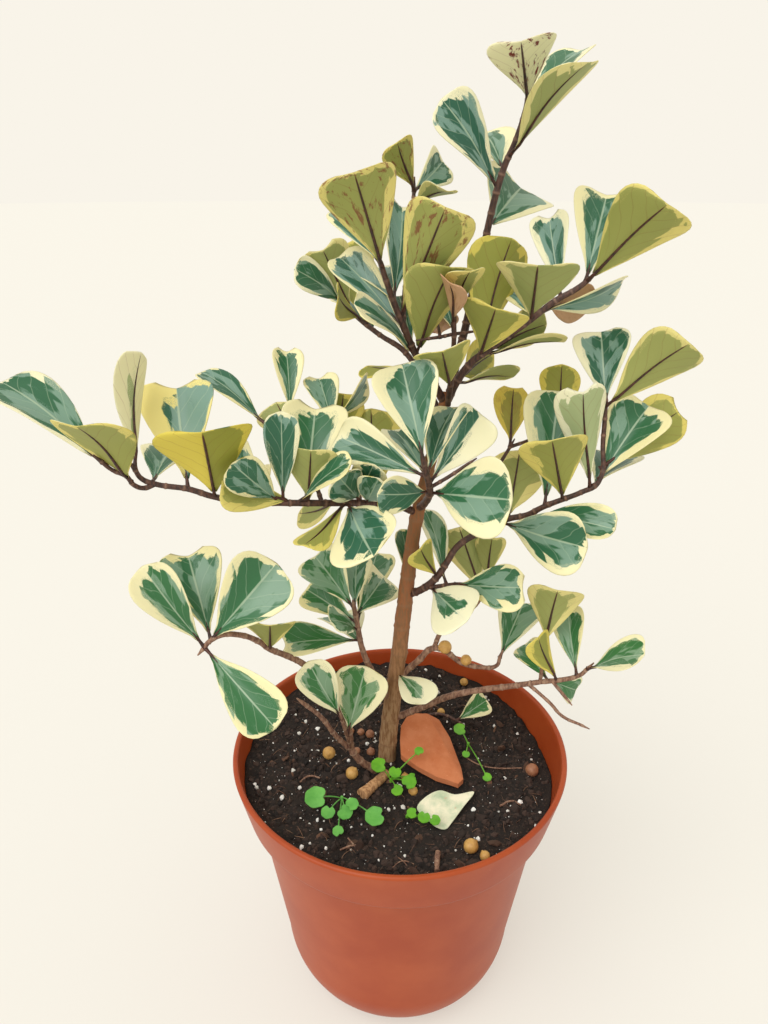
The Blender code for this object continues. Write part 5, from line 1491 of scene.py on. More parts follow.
@dataclass
class BarkGrower:
    """Geometry Nodes that lay bark along a stem's path, with a scar and a bud where each leaf has dropped."""

    sides: int = 12
    step: float = 0.9 * MM
    spacing: float = 8.5 * MM
    scar: float = 0.7 * MM
    scar_rise: float = 0.22
    lump: float = 0.35 * MM
    lump_size: float = 5 * MM
    bud: float = 0.62
    finish: bpy.types.Material | None = None
    growth: Growth = field(init=False)

    def __post_init__(self) -> None:
        """Make the tree."""
        self.growth = Growth("Bark along a stem", {
            "Sides": self.sides, "Step": self.step, "Scar spacing": self.spacing, "Scar width": self.scar,
            "Scar rise": self.scar_rise, "Lump": self.lump, "Lump size": self.lump_size, "Bud size": self.bud,
            "Finish": self.finish})
        t = self.growth.tree
        given = self.growth.given
        even = add(t, "GeometryNodeResampleCurve", None, {"Curve": given["Geometry"]})
        even.node.mode = "LENGTH"
        t.links.new(given["Step"], even.node.inputs["Length"])
        length = add(t, "GeometryNodeSplineParameter", None, (), "Length")
        place = add(t, "GeometryNodeInputPosition")
        drift = add(t, NOISE, None, {"Vector": place, "Scale": 25.0})
        turns = add(t, MATH, "ADD", (add(t, MATH, "DIVIDE", (length, given["Scar spacing"])), drift))
        part = add(t, MATH, "FRACT", (turns,))
        near = add(t, MATH, "MINIMUM", (part, add(t, MATH, "SUBTRACT", (1.0, part))))
        away = add(t, MATH, "MULTIPLY", (near, given["Scar spacing"]))
        ring = add(t, RANGE, {"interpolation_type": "SMOOTHSTEP"}, {
            "Value": away, "From Min": given["Scar width"], "From Max": 0.0})
        kept = add(t, STORE, {"data_type": "FLOAT", "domain": "POINT"}, {"Geometry": even, "Name": "ring",
                                                                         "Value": ring})
        radius = add(t, "GeometryNodeInputRadius")
        swollen = add(t, MATH, "MULTIPLY", (radius, add(t, MATH, "MULTIPLY_ADD", (ring, given["Scar rise"], 1.0))))
        sized = add(t, "GeometryNodeSetCurveRadius", None, {"Curve": kept, "Radius": swollen})
        circle = add(t, "GeometryNodeCurvePrimitiveCircle", None, {"Resolution": given["Sides"], "Radius": 1.0})
        wood = add(t, "GeometryNodeCurveToMesh", None, {"Curve": sized, "Profile Curve": circle, "Fill Caps": True})
        if "Scale" in wood.node.inputs:
            t.links.new(add(t, "GeometryNodeInputRadius"), wood.node.inputs["Scale"])
        here = add(t, "GeometryNodeInputPosition")
        rough = add(t, NOISE, None, {"Vector": here, "Scale": add(t, MATH, "DIVIDE", (1.0, given["Lump size"])),
                                     "Detail": 3.0})
        push = add(t, MATH, "MULTIPLY", (add(t, MATH, "SUBTRACT", (rough, 0.5)), given["Lump"]))
        out = add(t, VECTOR, "SCALE", {"Vector": add(t, "GeometryNodeInputNormal"), "Scale": push})
        moved = add(t, "GeometryNodeSetPosition", None, {"Geometry": wood, "Offset": out})
        soft = add(t, "GeometryNodeSetShadeSmooth", None, {"Geometry": moved})
        # A bud stands at each scar, where the whole part of the turns steps up
        after = add(t, MATH, "ADD", (add(t, "GeometryNodeInputIndex"), 1.0))
        beyond = add(t, "GeometryNodeFieldAtIndex", {"data_type": "FLOAT"}, {"Index": after, "Value": turns})
        steps = add(t, MATH, "SUBTRACT", (add(t, MATH, "FLOOR", (beyond,)), add(t, MATH, "FLOOR", (turns,))))
        share = add(t, "GeometryNodeSplineParameter", None, (), "Factor")
        within = add(t, MATH, "MULTIPLY", (add(t, MATH, "GREATER_THAN", (share, 0.04)),
                                           add(t, MATH, "LESS_THAN", (share, 0.93))))
        inner = add(t, MATH, "MULTIPLY", (within, add(t, MATH, "GREATER_THAN", (given["Bud size"], 0.0))))
        there = add(t, "FunctionNodeCompare", {"data_type": "FLOAT", "operation": "GREATER_THAN"},
                    {0: add(t, MATH, "MULTIPLY", (steps, inner)), 1: 0.5})
        ball = add(t, "GeometryNodeMeshIcoSphere", None, {"Radius": 1.0, "Subdivisions": 2})
        shape = add(t, "GeometryNodeTransform", None, {
            "Geometry": ball, "Translation": (0.0, 0.0, 0.95), "Scale": (0.62, 0.62, 1.15)})
        tangent = add(t, "GeometryNodeInputTangent")
        loose = add(t, "FunctionNodeRandomValue", {"data_type": "FLOAT_VECTOR"}, {0: (-1.0, -1.0, -1.0),
                                                                                  1: (1.0, 1.0, 1.0), 8: 5})
        square = add(t, VECTOR, "NORMALIZE", (add(t, VECTOR, "CROSS_PRODUCT", (tangent, loose)),))
        forward = add(t, VECTOR, "SCALE", {"Vector": tangent, "Scale": 0.55})
        way = add(t, VECTOR, "ADD", (square, forward))
        turn = add(t, "FunctionNodeAlignRotationToVector", {"axis": "Z"}, {"Vector": way})
        big = add(t, MATH, "MULTIPLY", (radius, given["Bud size"]))
        buds = add(t, "GeometryNodeInstanceOnPoints", None, {
            "Points": even, "Selection": there, "Instance": shape, "Rotation": turn, "Scale": big})
        marked = add(t, STORE, {"data_type": "FLOAT", "domain": "INSTANCE"}, {"Geometry": buds, "Name": "ring",
                                                                              "Value": 0.35})
        round_buds = add(t, "GeometryNodeSetShadeSmooth", None, {
            "Geometry": add(t, "GeometryNodeRealizeInstances", None, (marked,))})
        both = add(t, "GeometryNodeJoinGeometry", None, {"Geometry": soft})
        t.links.new(round_buds, both.node.inputs["Geometry"])
        real = add(t, "GeometryNodeRealizeInstances", None, (both,))
        self.growth.end(add(t, "GeometryNodeSetMaterial", None, {"Geometry": real, "Material": given["Finish"]}))

    def along(self, name: str, stems: Sequence[tuple[Sequence[Vector], Sequence[float]]]) -> bpy.types.Object:
        """Lay bark along several paths.

        Args:
            name: The name of the piece.
            stems: The points of each path, and its radius at each of them.

        Returns:
            The stems as one mesh.
        """
        path = bpy.data.curves.new(name, "CURVE")
        path.dimensions = "3D"
        path.resolution_u = 6
        for route, radii in stems:
            spline = path.splines.new("BEZIER")
            spline.bezier_points.add(len(route) - 1)
            for knot, place, radius in zip(spline.bezier_points, route, radii):
                knot.co = place
                knot.radius = radius
                knot.handle_left_type = "AUTO"
                knot.handle_right_type = "AUTO"
        source = bpy.data.objects.new(name, path)
        bpy.context.scene.collection.objects.link(source)
        return self.growth.grown(source, name)


@dataclass
class Scatter:
    """Geometry Nodes that strew bits of several shapes over a surface."""

    name: str
    bits: bpy.types.Collection
    finish: bpy.types.Material
    density: float
    small: float
    large: float
    sunk: float
    seed: int
    rarity: float = 2.5
    tip: float = 3.1
    within: float = 91 * MM

    def over(self, surface: bpy.types.Object) -> bpy.types.Object:
        """Strew the bits over a surface, which is used up.

        Args:
            surface: The open surface that the bits lie on.

        Returns:
            The bits as one mesh.
        """
        growth = Growth(self.name, {
            "Bits": self.bits, "Density": self.density, "Smallest": self.small, "Largest": self.large,
            "Sunk": self.sunk, "Within": self.within, "Rarity": self.rarity, "Seed": self.seed,
            "Finish": self.finish})
        t = growth.tree
        given = growth.given
        where = add(t, "GeometryNodeDistributePointsOnFaces", None, {
            "Mesh": given["Geometry"], "Density": given["Density"], "Seed": given["Seed"]})
        place = add(t, "GeometryNodeInputPosition")
        level = add(t, VECTOR, "MULTIPLY", (place, (1.0, 1.0, 0.0)))
        far = add(t, VECTOR, "LENGTH", (level,), "Value")
        outside = add(t, "FunctionNodeCompare", {"data_type": "FLOAT", "operation": "GREATER_THAN"},
                      {0: far, 1: given["Within"]})
        inside = add(t, "GeometryNodeDeleteGeometry", {"domain": "POINT"}, (where, outside))
        pick = add(t, "FunctionNodeRandomValue", {"data_type": "INT"}, {4: 0, 5: 5, 8: given["Seed"]}, 2)
        spin = add(t, "FunctionNodeRandomValue", {"data_type": "FLOAT_VECTOR"}, {
            0: (-self.tip, -self.tip, -math.pi), 1: (self.tip, self.tip, math.pi)})
        even = add(t, "FunctionNodeRandomValue", {"data_type": "FLOAT"}, {2: 0.0, 3: 1.0, 8: 3}, 1)
        most = add(t, MATH, "POWER", (even, given["Rarity"]))
        size = add(t, RANGE, None, {"Value": most, "To Min": given["Smallest"], "To Max": given["Largest"]})
        parts = add(t, "GeometryNodeCollectionInfo", None, {"Collection": given["Bits"], "Separate Children": True,
                                                            "Reset Children": True})
        put = add(t, "GeometryNodeInstanceOnPoints", None, {
            "Points": inside, "Instance": parts, "Pick Instance": True, "Instance Index": pick, "Rotation": spin,
            "Scale": size})
        tone = add(t, "FunctionNodeRandomValue", {"data_type": "FLOAT"}, {2: 0.0, 3: 1.0, 8: 7}, 1)
        toned = add(t, STORE, {"data_type": "FLOAT", "domain": "INSTANCE"}, {"Geometry": put, "Name": "tone",
                                                                             "Value": tone})
        down = add(t, "ShaderNodeCombineXYZ", None, {"Z": add(t, MATH, "MULTIPLY", (given["Sunk"], -1.0))})
        low = add(t, "GeometryNodeTranslateInstances", None, {"Instances": toned, "Translation": down,
                                                              "Local Space": False})
        real = add(t, "GeometryNodeRealizeInstances", None, (low,))
        growth.end(add(t, "GeometryNodeSetMaterial", None, {"Geometry": real, "Material": given["Finish"]}))
        return growth.grown(surface, self.name)


@dataclass
class LeafyStem:
    """One branch: its woody stems with their buds and hanging figs, and its leaves."""

    plan: Branch
    blades: list[Blade]
    foliage: Foliage
    bud: float = 5 * MM
    bud_end: float = 0.35 * MM

    def paths(self) -> list[tuple[list[Vector], list[float]]]:
        """Find each stem's path and radii, drawn out to a pointed bud at its end."""
        found = []
        for index, stem in enumerate(self.plan.stems):
            route = self.foliage.route(self.plan, index)
            radii = self.foliage.radii(stem, len(route))
            if self.plan.name != "trunk":
                way = (route[-1] - route[-2]).normalized()
                route.append(route[-1] + way * self.bud)
                radii.append(self.bud_end)
            found.append((route, radii))
        return found

    def build(self, bark: BarkGrower, leaves: LeafGrower) -> None:
        """Make the branch's pieces and dress them.

        Args:
            bark: What lays its bark.
            leaves: What grows its leaves.
        """
        name = self.plan.name
        slot = "bark" if name == "trunk" else "leafy_stem"
        dressed(bark.along(name + "_wood", self.paths()), slot, name)
        if self.blades:
            dressed(leaves.leaves(name + "_leaves", self.blades), "leafy_stem", name)


@dataclass
class Pot:
    """The round nursery pot, with a tall collar, a step under it, a rolled lip and drain holes."""

    height: float = 170 * MM
    rim: float = 100 * MM
    roll: float = 1.5 * MM
    collar_bottom: float = 94.3 * MM
    collar_depth: float = 27.8 * MM
    shoulder: float = 87.7 * MM
    shoulder_depth: float = 31.8 * MM
    rounding: float = 73.4 * MM
    rounding_height: float = 37.5 * MM
    foot: float = 50 * MM
    foot_height: float = 2.5 * MM
    wall: float = 2.2 * MM
    floor: float = 3 * MM
    sides: int = 160
    arc_steps: int = 12
    soft: float = 1.6 * MM
    holes: int = 6
    hole: float = 4 * MM
    hole_circle: float = 32 * MM
    hole_turn: float = 0.01
    shared_steps: int = 3

    def outside(self) -> list[Place]:
        """Give the outer profile from foot to collar, with softened corners."""
        profile: list[Place] = [(self.foot, 0), (self.foot, self.foot_height)]
        for step in range(1, self.arc_steps + 1):
            angle = math.pi / 2 * step / self.arc_steps
            profile.append((self.foot + (self.rounding - self.foot) * math.sin(angle),
                            self.foot_height + (self.rounding_height - self.foot_height) * (1 - math.cos(angle))))
        shoulder = self.height - self.shoulder_depth
        collar = self.height - self.collar_depth
        profile += [(self.shoulder - 0.3 * MM, shoulder - self.soft), (self.shoulder, shoulder - self.soft / 4),
                    (self.shoulder + self.soft / 2, shoulder + self.soft / 3),
                    (self.collar_bottom - self.soft, collar - self.soft), (self.collar_bottom - 0.3 * MM, collar - 0.4 * MM),
                    (self.collar_bottom, collar + self.soft / 2)]
        return profile

    def inside(self, inset: float = 0) -> list[Place]:
        """Give the inner profile from floor to lip, or one set in from it."""
        coarse = [(self.foot, 0), (self.foot, self.foot_height)]
        for step in range(1, self.shared_steps + 1):
            angle = math.pi / 2 * step / self.shared_steps
            coarse.append((self.foot + (self.rounding - self.foot) * math.sin(angle),
                           self.foot_height + (self.rounding_height - self.foot_height) * (1 - math.cos(angle))))
        coarse += [(self.shoulder, self.height - self.shoulder_depth),
                   (self.collar_bottom, self.height - self.collar_depth)]
        profile = [(self.foot - self.wall - inset, self.floor + inset)]
        for index, (radius, height) in enumerate(coarse[2:]):
            lift = self.wall * max(1 - (index + 1) / self.shared_steps, 0.4)
            profile.append((radius - self.wall - inset, height + lift + inset))
        profile.append((self.rim - self.roll - self.wall - inset, self.height - self.roll * 2))
        return profile

    def build(self) -> None:
        """Spin the wall, cut the drain holes and dress it."""
        lip = self.height - self.roll
        rolled = []
        for step in range(9):
            angle = math.pi * (step / 8) - 0.35
            rolled.append((self.rim - self.roll * 1.1 + self.roll * 1.1 * math.cos(angle),
                           lip + self.roll * math.sin(angle)))
        profile = [(0, 0)] + self.outside() + rolled + self.inside()[::-1] + [(0, self.floor)]
        pot = piece_of("pot_shell", turned(profile, self.sides), POT_PLASTIC.material())
        cutters = []
        for index in range(self.holes):
            # A hair off the spokes of the base, so that no hole's edge runs along one
            angle = math.tau * (index + 0.5) / self.holes + self.hole_turn
            place = Vector((math.cos(angle), math.sin(angle), 0)) * self.hole_circle
            route = [place - Vector((0, 0, self.floor)), place + Vector((0, 0, self.floor * 2))]
            cutters.append(tube(route, [self.hole] * 2, 24))
        tool = piece_of("drain_holes", joined(cutters))
        cut = pot.modifiers.new("Holes", "BOOLEAN")
        cut.operation = "DIFFERENCE"
        cut.object = tool
        bpy.context.view_layer.objects.active = pot
        bpy.ops.object.modifier_apply(modifier=cut.name)
        bpy.data.objects.remove(tool, do_unlink=True)
        pot.data.shade_smooth()
        pot.data.set_sharp_from_angle(angle=math.radians(35))
        dressed(pot, "pot", "pot")


@dataclass
class Soil:
    """The potting mix: a lumpy bed, crumbs, perlite and bark chips."""

    pot: Pot
    gap: float = 0.3 * MM
    sides: int = 144
    rings: int = 60
    lumps: float = 3.4 * MM
    lump: float = 9 * MM
    crumbs: int = 6
    under: float = 0.7 * MM
    margin: float = 1.22
    covers: list[list[Vector]] = field(init=False)

    def __post_init__(self) -> None:
        """Find the ground that the shard and the fallen leaf lie on."""
        self.covers = []
        for places in (SHARD_OUTLINE, FALLEN_OUTLINE):
            outline = [LEVEL.seen(VIEWER, *place) for place in places]
            middle = sum(outline, Vector()) / len(outline)
            self.covers.append([middle.lerp(corner, self.margin) for corner in outline])

    def covered(self, place: Vector) -> bool:
        """Say whether something lies on the ground at a place."""
        return any(inside(place, cover) for cover in self.covers)

    def height(self, x: float, y: float) -> float:
        """Find the height of the lumpy top at a place."""
        here = Vector((x, y, 0.3))
        rough = noise.fractal(here / self.lump, 0.9, 2.0, 3) * self.lumps * 0.6
        if self.covered(here):
            rough = min(rough, 0) * 0.3 - self.under
        return LEVEL.height(x, y) + rough

    def build(self) -> None:
        """Make the bed and everything loose in it."""
        wall = self.pot.inside(self.gap)
        (low_radius, low), (high_radius, high) = wall[-2:]
        flare = (high_radius - low_radius) / (high - low)
        rim = low_radius + flare * (LEVEL.top - low)
        profile = [(0, self.pot.floor + self.gap)] + wall[:-1] + [(rim, LEVEL.top)]
        profile += [(rim * ring / self.rings, LEVEL.top) for ring in range(self.rings - 1, 0, -1)] + [(0, LEVEL.top)]
        form = turned(profile, self.sides)
        points = []
        for point in form.points:
            if point.z > LEVEL.top - 0.01 * MM:
                height = self.height(point.x, point.y)
                on_wall = math.hypot(point.x, point.y) > rim - 0.01 * MM
                share = (rim + flare * (height - LEVEL.top)) / rim if on_wall else 1
                point = Vector((point.x * share, point.y * share, height))
            points.append(point)
        bed = piece_of("soil_bed", Form(points, form.faces), POTTING_MIX.material())
        bed.data.shade_smooth()
        top = []
        for face in form.faces:
            middle = sum((points[corner] for corner in face), Vector()) / len(face)
            on_top = all(form.points[corner].z > LEVEL.top - 0.01 * MM for corner in face)
            if on_top and not self.covered(middle):
                top.append(face)
        for scatter in (
            Scatter("soil_crumbs", self.bits("crumb", (1, 0.8, 0.7)), CRUMB.material(), 150000.0, 0.6 * MM,
                    3.0 * MM, 0.3 * MM, 1),
            Scatter("soil_clods", self.bits("clod", (1, 0.8, 0.65)), CRUMB.material(), 6000.0, 2.4 * MM,
                    5.6 * MM, 1.2 * MM, 5, within=87 * MM),
            Scatter("soil_perlite", self.bits("perlite", (1, 0.9, 0.8)), PERLITE.material(), 24000.0, 0.22 * MM,
                    2.0 * MM, -0.3 * MM, 2, 6.0),
            Scatter("soil_bark_chips", self.bits("chip", (1.7, 0.8, 0.35)), CHIP.material(), 4200.0, 1.2 * MM,
                    4.6 * MM, 0.2 * MM, 3, within=84 * MM),
            Scatter("soil_fibres", self.fibres(), FIBRE.material(), 7500.0, 1.4 * MM, 4.6 * MM, -0.5 * MM, 4,
                    1.5, 0.35, 87 * MM),
        ):
            surface = piece_of("soil_surface", Form(points, top))
            dressed(scatter.over(surface), "soil")
        dressed(bed, "soil", "soil")

    def fibres(self) -> bpy.types.Collection:
        """Make a few short bent root fibres, one unit long to each side."""
        chance = random.Random(f"{SEED} fibre")
        held = bpy.data.collections.new("fibre_bits")
        bpy.context.scene.collection.children.link(held)
        for index in range(self.crumbs):
            bend = chance.uniform(-0.5, 0.5)
            rise = chance.uniform(0.0, 0.35)
            route = [Vector((x, bend * x * x, rise * (1 - x * x))) for x in (-1.0, -0.5, 0.0, 0.5, 1.0)]
            bit = piece_of(f"fibre_{index}", tube(route, [0.02, 0.035, 0.045, 0.035, 0.015], 4))
            bpy.context.scene.collection.objects.unlink(bit)
            held.objects.link(bit)
            bit.hide_render = True
        return held

    def bits(self, name: str, stretch: Place) -> bpy.types.Collection:
        """Make a few rough bits of one kind.

        Args:
            name: What they are.
            stretch: How long, wide and thick they are for a size of one.

        Returns:
            A collection that holds them.
        """
        chance = random.Random(f"{SEED} {name}")
        held = bpy.data.collections.new(name + "_bits")
        bpy.context.scene.collection.children.link(held)
        for index in range(self.crumbs):
            shape = bmesh.new()
            bmesh.ops.create_icosphere(shape, subdivisions=1, radius=1)
            for corner in shape.verts:
                corner.co *= chance.uniform(0.7, 1.15)
                corner.co = Vector((corner.co.x * stretch[0], corner.co.y * stretch[1], corner.co.z * stretch[2]))
            mesh = bpy.data.meshes.new(name)
            shape.to_mesh(mesh)
            shape.free()
            bit = bpy.data.objects.new(f"{name}_{index}", mesh)
            held.objects.link(bit)
            bit.hide_render = True
        return held


@dataclass
class Figs:
    """The small dried figs, on the soil and hanging from the lower right branch."""

    sides: int = 20
    rings: int = 14
    brown: tuple[int, ...] = (2, 3, 4, 9, 10, 11)

    def fig(self, centre: Vector, radius: float, turn: float) -> Form:
        """Make one fig, with a low eye and a short stalk.

        Args:
            centre: Its middle.
            radius: Its radius.
            turn: Which way it lies, in radians.

        Returns:
            The closed form.
        """
        profile: list[Place] = [(0, -radius * 0.93), (radius * 0.16, -radius * 0.99)]
        for ring in range(2, self.rings - 1):
            angle = math.pi * ring / self.rings
            profile.append((radius * math.sin(angle), -radius * math.cos(angle)))
        profile += [(radius * 0.2, radius * 1.0), (radius * 0.13, radius * 1.16), (0, radius * 1.17)]
        form = turned(profile, self.sides)
        lie = Matrix.Rotation(turn, 3, "Z") @ Matrix.Rotation(1.1 + 0.5 * math.sin(turn * 3), 3, "X")
        points = []
        for point in form.points:
            dent = 1 + 0.05 * noise.noise(point * 3 / radius + centre * 900)
            points.append(centre + lie @ (point * dent))
        return Form(points, form.faces)

    def build(self, foliage: Foliage) -> None:
        """Make the figs on the soil and those on the branch."""
        skin = FIG_SKIN.material()
        sorts: dict[bool, tuple[list[Form], list[str]]] = {True: ([], []), False: ([], [])}
        for index, (x, y, size) in enumerate((*FIGS, *SMALL_FIGS)):
            forms, nodes = sorts[index in self.brown]
            forms.append(self.fig(LEVEL.seen(VIEWER, x, y, size - FIG_SUNK), size * MM, index * 1.7))
            nodes += [f"fig_{index + 1}"] if index < len(FIGS) else []
        for brown, (forms, nodes) in sorts.items():
            name = "brown_dried_figs" if brown else "ochre_dried_figs"
            fallen = piece_of(name, joined(forms), BROWN_FIG_SKIN.material() if brown else skin)
            fallen.data.shade_smooth()
            dressed(fallen, "dried_fig", *nodes)
        for branch in foliage.branches:
            if branch.fruits:
                hung = [self.fig(VIEWER.point(x, y, depth), radius * MM, x)
                        for x, y, depth, radius in branch.fruits]
                ripe = piece_of(branch.name + "_figs", joined(hung), skin)
                ripe.data.shade_smooth()
                dressed(ripe, "dried_fig", branch.name)


def rounded(outline: Sequence[Vector], steps: int) -> list[Vector]:
    """Draw a smooth closed line through points.

    Args:
        outline: The points in order.
        steps: How many parts each span gets.

    Returns:
        The points of the line.
    """
    line = []
    count = len(outline)
    for index in range(count):
        before, here, after, beyond = [outline[(index + offset) % count] for offset in (-1, 0, 1, 2)]
        for step in range(steps):
            s = step / steps
            line.append(0.5 * (2 * here + (after - before) * s + (2 * before - 5 * here + 4 * after - beyond) * s ** 2
                               + (3 * here - before - 3 * after + beyond) * s ** 3))
    return line


def counter_clockwise(outline: list[Vector]) -> list[Vector]:
    """Give an outline with its corners counter-clockwise from above."""
    area = 0
    for here, after in zip(outline, outline[1:] + outline[:1]):
        area += here.x * after.y - after.x * here.y
    return outline if area > 0 else outline[::-1]


def inside(point: Vector, outline: Sequence[Vector]) -> bool:
    """Say whether a point lies in an outline, seen from above."""
    within = False
    for here, after in zip(outline, (*outline[1:], outline[0])):
        if (here.y > point.y) != (after.y > point.y):
            across = here.x + (point.y - here.y) / (after.y - here.y) * (after.x - here.x)
            within = within != (point.x < across)
    return within


@dataclass
class Plate:
    """A thin plate over an outline: a shard of clay, a fallen leaf or a seedling's round leaf."""

    thick: float
    dip: float
    rings: int = 6
    wave: float = 0.0
    edge: float = 0.6

    def form(self, outline: Sequence[Vector]) -> Form:
        """Make the plate as rings drawn in to its middle.

        Args:
            outline: Its rim, counter-clockwise from above.

        Returns:
            The closed form, whose middle lies lower than its rim by the dip.
        """
        count = len(outline)
        middle = sum(outline, Vector()) / count
        points: list[Vector] = []
        for side in (1, -1):
            for ring in range(self.rings):
                share = 1 - ring / self.rings
                sag = self.dip * (1 - share * share)
                half = self.thick / 2 * (self.edge if ring == 0 else 1)
                for index, rim in enumerate(outline):
                    sway = self.wave * math.sin(index / count * math.tau * 3) * share * share
                    points.append(middle.lerp(rim, share) + Vector((0, 0, side * half - sag + sway)))
            points.append(middle + Vector((0, 0, side * self.thick / 2 - self.dip)))
        under = self.rings * count + 1
        faces: list[tuple[int, ...]] = []
        for index in range(count):
            beside = (index + 1) % count
            for ring in range(self.rings - 1):
                a = ring * count
                b = a + count
                faces.append((a + index, a + beside, b + beside, b + index))
                faces.append((under + a + beside, under + a + index, under + b + index, under + b + beside))
            last = (self.rings - 1) * count
            faces.append((last + index, last + beside, self.rings * count))
            faces.append((under + last + beside, under + last + index, under + self.rings * count))
            faces.append((beside, index, under + index, under + beside))
        return Form(points, faces)


@dataclass
class SoilItems:
    """What lies on the soil: the clay shard, the fallen leaf, the cut stub and small twigs."""

    shard: Plate = field(default_factory=lambda: Plate(4 * MM, -0.6 * MM, 14, 0.0, 0.85))
    leaf: Plate = field(default_factory=lambda: Plate(0.7 * MM, 0.6 * MM, 6, 0.5 * MM))
    crest: float = 3.0 * MM
    left_reach: float = 20 * MM
    right_reach: float = 7.5 * MM
    chip: float = 0.35 * MM

    def lying(self, name: str, places: Sequence[Place], plate: Plate, steps: int) -> bpy.types.Object:
        """Make a plate over an outline of places on the soil."""
        outline = counter_clockwise([LEVEL.seen(VIEWER, *place) for place in places])
        if steps > 1:
            outline = rounded(outline, steps)
        made = piece_of(name, plate.form(outline))
        made.data.shade_smooth()
        made.data.set_sharp_from_angle(angle=math.radians(40))
        return made

    def creased(self, shard: bpy.types.Object) -> None:
        """Raise the shard along its crease, steeper on the right of it, and chip its edge."""
        start, end = (LEVEL.seen(VIEWER, *place) for place in SHARD_CREASE)
        along = (end - start).normalized()
        right = along.cross(Vector((0, 0, -1)))
        for corner in shard.data.vertices:
            beyond = (corner.co - start).dot(right)
            reach = self.right_reach if beyond > 0 else self.left_reach
            chip = noise.noise(corner.co / (4 * MM)) * self.chip
            corner.co.z += self.crest * max(1 - abs(beyond) / reach, 0) + chip

    def build(self, twigs: BarkGrower, stub: BarkGrower) -> None:
        """Make the pieces and dress them."""
        places = []
        for here, after in zip(SHARD_OUTLINE, (*SHARD_OUTLINE[1:], SHARD_OUTLINE[0])):
            places += [tuple(Vector(here).lerp(Vector(after), step / 5)) for step in range(5)]
        shard = self.lying("clay_shard", places, self.shard, 1)
        self.creased(shard)
        shard.data.set_sharp_from_angle(angle=math.radians(13))
        shard.data.materials.append(BROKEN_CLAY.material())
        dressed(shard, "terracotta", "shard")
        leaf = self.lying("pale_fallen_leaf", FALLEN_OUTLINE, self.leaf, 6)
        leaf.data.materials.append(FALLEN.material())
        dressed(leaf, "fallen_leaf", "fallen_leaf")
        route = [LEVEL.seen(VIEWER, *place) for place in STUB_ROUTE]
        dressed(stub.along("cut_stub", [(route, [2.6 * MM, 3.0 * MM, 3.7 * MM])]), "bark", "pruned_stub")
        paths = []
        for places, thick in TWIGS:
            route = [LEVEL.seen(VIEWER, *place) for place in places]
            paths.append((route, [thick / 2 * MM] * len(route)))
        dressed(twigs.along("soil_twigs", paths), "bark")


@dataclass
class WeedPlant:
    """A seedling with round leaves on thin stalks."""

    plan: Weed
    stalk: float = 0.38 * MM
    start: float = 1.3 * MM
    step: float = 0.17 * MM
    rise: float = 2.5 * MM
    lean: float = 0.25
    dish: float = 0.15
    sides: int = 26

    def build(self, finish: bpy.types.Material) -> None:
        """Make the seedling's stalks and leaves as one piece."""
        foot = LEVEL.seen(VIEWER, *self.plan.foot)
        forms = [tube([foot - Vector((0, 0, 6 * MM)), foot + Vector((0, 0, 2.6 * MM))], [0.9 * MM] * 2, 8)]
        for index, (x, y, height, size) in enumerate((*self.plan.leaves, *MORE_WEED_LEAVES.get(self.plan.name, ()))):
            centre = LEVEL.seen(VIEWER, x, y, height)
            start = foot + Vector((0, 0, self.start + self.step * index))
            crest = start.lerp(centre, 0.5) + Vector((0, 0, self.rise))
            end = centre - Vector((0, 0, self.dish * size * MM))
            arc = [start.lerp(crest, s).lerp(crest.lerp(end, s), s) for s in [part / 8 for part in range(9)]]
            forms.append(tube(arc, [self.stalk] * len(arc), 6))
            outline = []
            for turn in range(self.sides):
                angle = math.tau * (turn + 0.5) / self.sides
                notch = 1 - 0.42 * max(math.cos(angle - 1.3 * index), 0) ** 16
                scallop = 1.08 + 0.035 * math.cos(angle * 7)
                out = size * MM * notch * scallop
                outline.append(centre + Vector((math.cos(angle), math.sin(angle), math.sin(angle) * self.lean)) * out)
            forms.append(Plate(0.6 * MM, size * MM * self.dish, 4).form(outline))
        made = piece_of(self.plan.name + "_plant", joined(forms), finish)
        made.data.shade_smooth()
        made.data.set_sharp_from_angle(angle=math.radians(50))
        dressed(made, "seedling", self.plan.name)


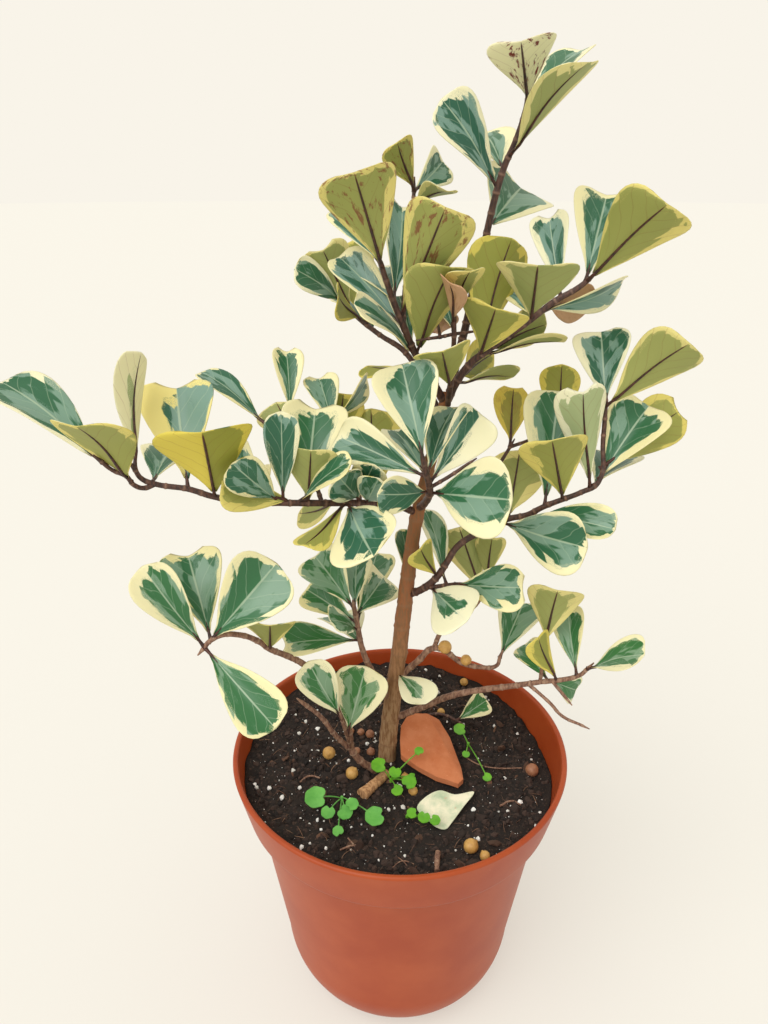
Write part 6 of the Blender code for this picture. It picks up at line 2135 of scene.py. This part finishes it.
@dataclass
class Studio:
    """A plain pale floor, soft light, and the camera at the viewer's eye."""

    floor_radius: float = 14.0
    floor_below: float = 0.2 * MM
    ambient: float = 0.95
    key: float = 1.7
    key_soft: float = 50
    glow: float = 0.47
    key_turn: Place = (38, -12, -24)

    def build(self) -> None:
        """Make the floor, the world, the lights and the camera."""
        shape = bmesh.new()
        bmesh.ops.create_circle(shape, cap_ends=True, segments=96, radius=self.floor_radius)
        mesh = bpy.data.meshes.new("studio_floor")
        shape.to_mesh(mesh)
        shape.free()
        paper = bpy.data.materials.new("Matt paper floor")
        paper.use_nodes = True
        shader = paper.node_tree.nodes["Principled BSDF"]
        shader.inputs["Base Color"].default_value = linear(FLOOR_PAPER)
        shader.inputs["Roughness"].default_value = 1.0
        shader.inputs["Specular IOR Level"].default_value = 0.0
        # A light table: it glows a little, so the shadows on it stay pale
        shader.inputs["Emission Color"].default_value = linear(BACKDROP)
        shader.inputs["Emission Strength"].default_value = self.glow
        mesh.materials.append(paper)
        floor = bpy.data.objects.new("studio_floor", mesh)
        floor.location.z = -self.floor_below
        bpy.context.scene.collection.objects.link(floor)
        world = bpy.data.worlds.new("Pale studio")
        world.use_nodes = True
        t = world.node_tree
        t.nodes.clear()
        seen = add(t, "ShaderNodeLightPath", None, (), "Is Camera Ray")
        strength = add(t, MIX, None, (seen, None, self.ambient, 1.0))
        light = add(t, "ShaderNodeBackground", None, (linear(BACKDROP), strength))
        add(t, "ShaderNodeOutputWorld", None, {"Surface": light})
        bpy.context.scene.world = world
        lamp = bpy.data.lights.new("Key", "SUN")
        lamp.energy = self.key
        lamp.angle = math.radians(self.key_soft)
        sun = bpy.data.objects.new("Key", lamp)
        sun.rotation_euler = [math.radians(turn) for turn in self.key_turn]
        bpy.context.scene.collection.objects.link(sun)
        view = bpy.context.scene.view_settings
        view.view_transform = "Standard"
        camera_data = bpy.data.cameras.new("Viewer")
        camera_data.sensor_width = VIEWER.sensor
        camera_data.lens = VIEWER.length / VIEWER.picture_high * VIEWER.sensor
        camera = bpy.data.objects.new("Viewer", camera_data)
        camera.location = VIEWER.at()
        camera.rotation_euler = (math.pi / 2 - VIEWER.pitch, 0, 0)
        bpy.context.scene.collection.objects.link(camera)
        bpy.context.scene.camera = camera


def main() -> None:
    """Build the plant's looks, its pot, what lies on its soil, and the studio."""
    foliage = Foliage(BRANCHES)
    blades = foliage.settled()
    leaf_grower = LeafGrower(LeafShape(), LEAF.material(), RIB_BARK.material())
    stem_bark = BarkGrower(finish=STEM_BARK.material())
    trunk_bark = BarkGrower(24, 1.0 * MM, 17 * MM, 1.3 * MM, 0.08, 1.6 * MM, 7 * MM, 0.5, TRUNK_BARK.material())
    low_bark = BarkGrower(12, 0.9 * MM, 8 * MM, 0.8 * MM, 0.18, 0.5 * MM, 5 * MM, 0.62, LOW_BARK.material())
    for branch in BRANCHES:
        bark = low_bark if branch.name in OLD_BRANCHES else stem_bark
        bark = trunk_bark if branch.name == "trunk" else bark
        LeafyStem(branch, blades[branch.name], foliage).build(bark, leaf_grower)
    pot = Pot()
    pot.build()
    Soil(pot).build()
    Figs().build(foliage)
    stub_wood = BarkGrower(16, 1.0 * MM, 9 * MM, 0.8 * MM, 0.1, 0.9 * MM, 4 * MM, 0.0, STUB_WOOD.material())
    twig_wood = BarkGrower(8, 1.0 * MM, 9 * MM, 0.5 * MM, 0.1, 0.3 * MM, 4 * MM, 0.0, LOW_BARK.material())
    SoilItems().build(twig_wood, stub_wood)
    bright = WEED_LEAF.material()
    bluish = OLD_WEED_LEAF.material()
    for plan in SEEDLINGS:
        WeedPlant(plan).build(bluish if plan is SEEDLINGS[0] else bright)
    Studio().build()
    for leftover in [thing for thing in bpy.data.objects if thing.name.startswith(PATTERN_NAMES)]:
        bpy.data.objects.remove(leftover, do_unlink=True)


if __name__ == "__main__":
    main()
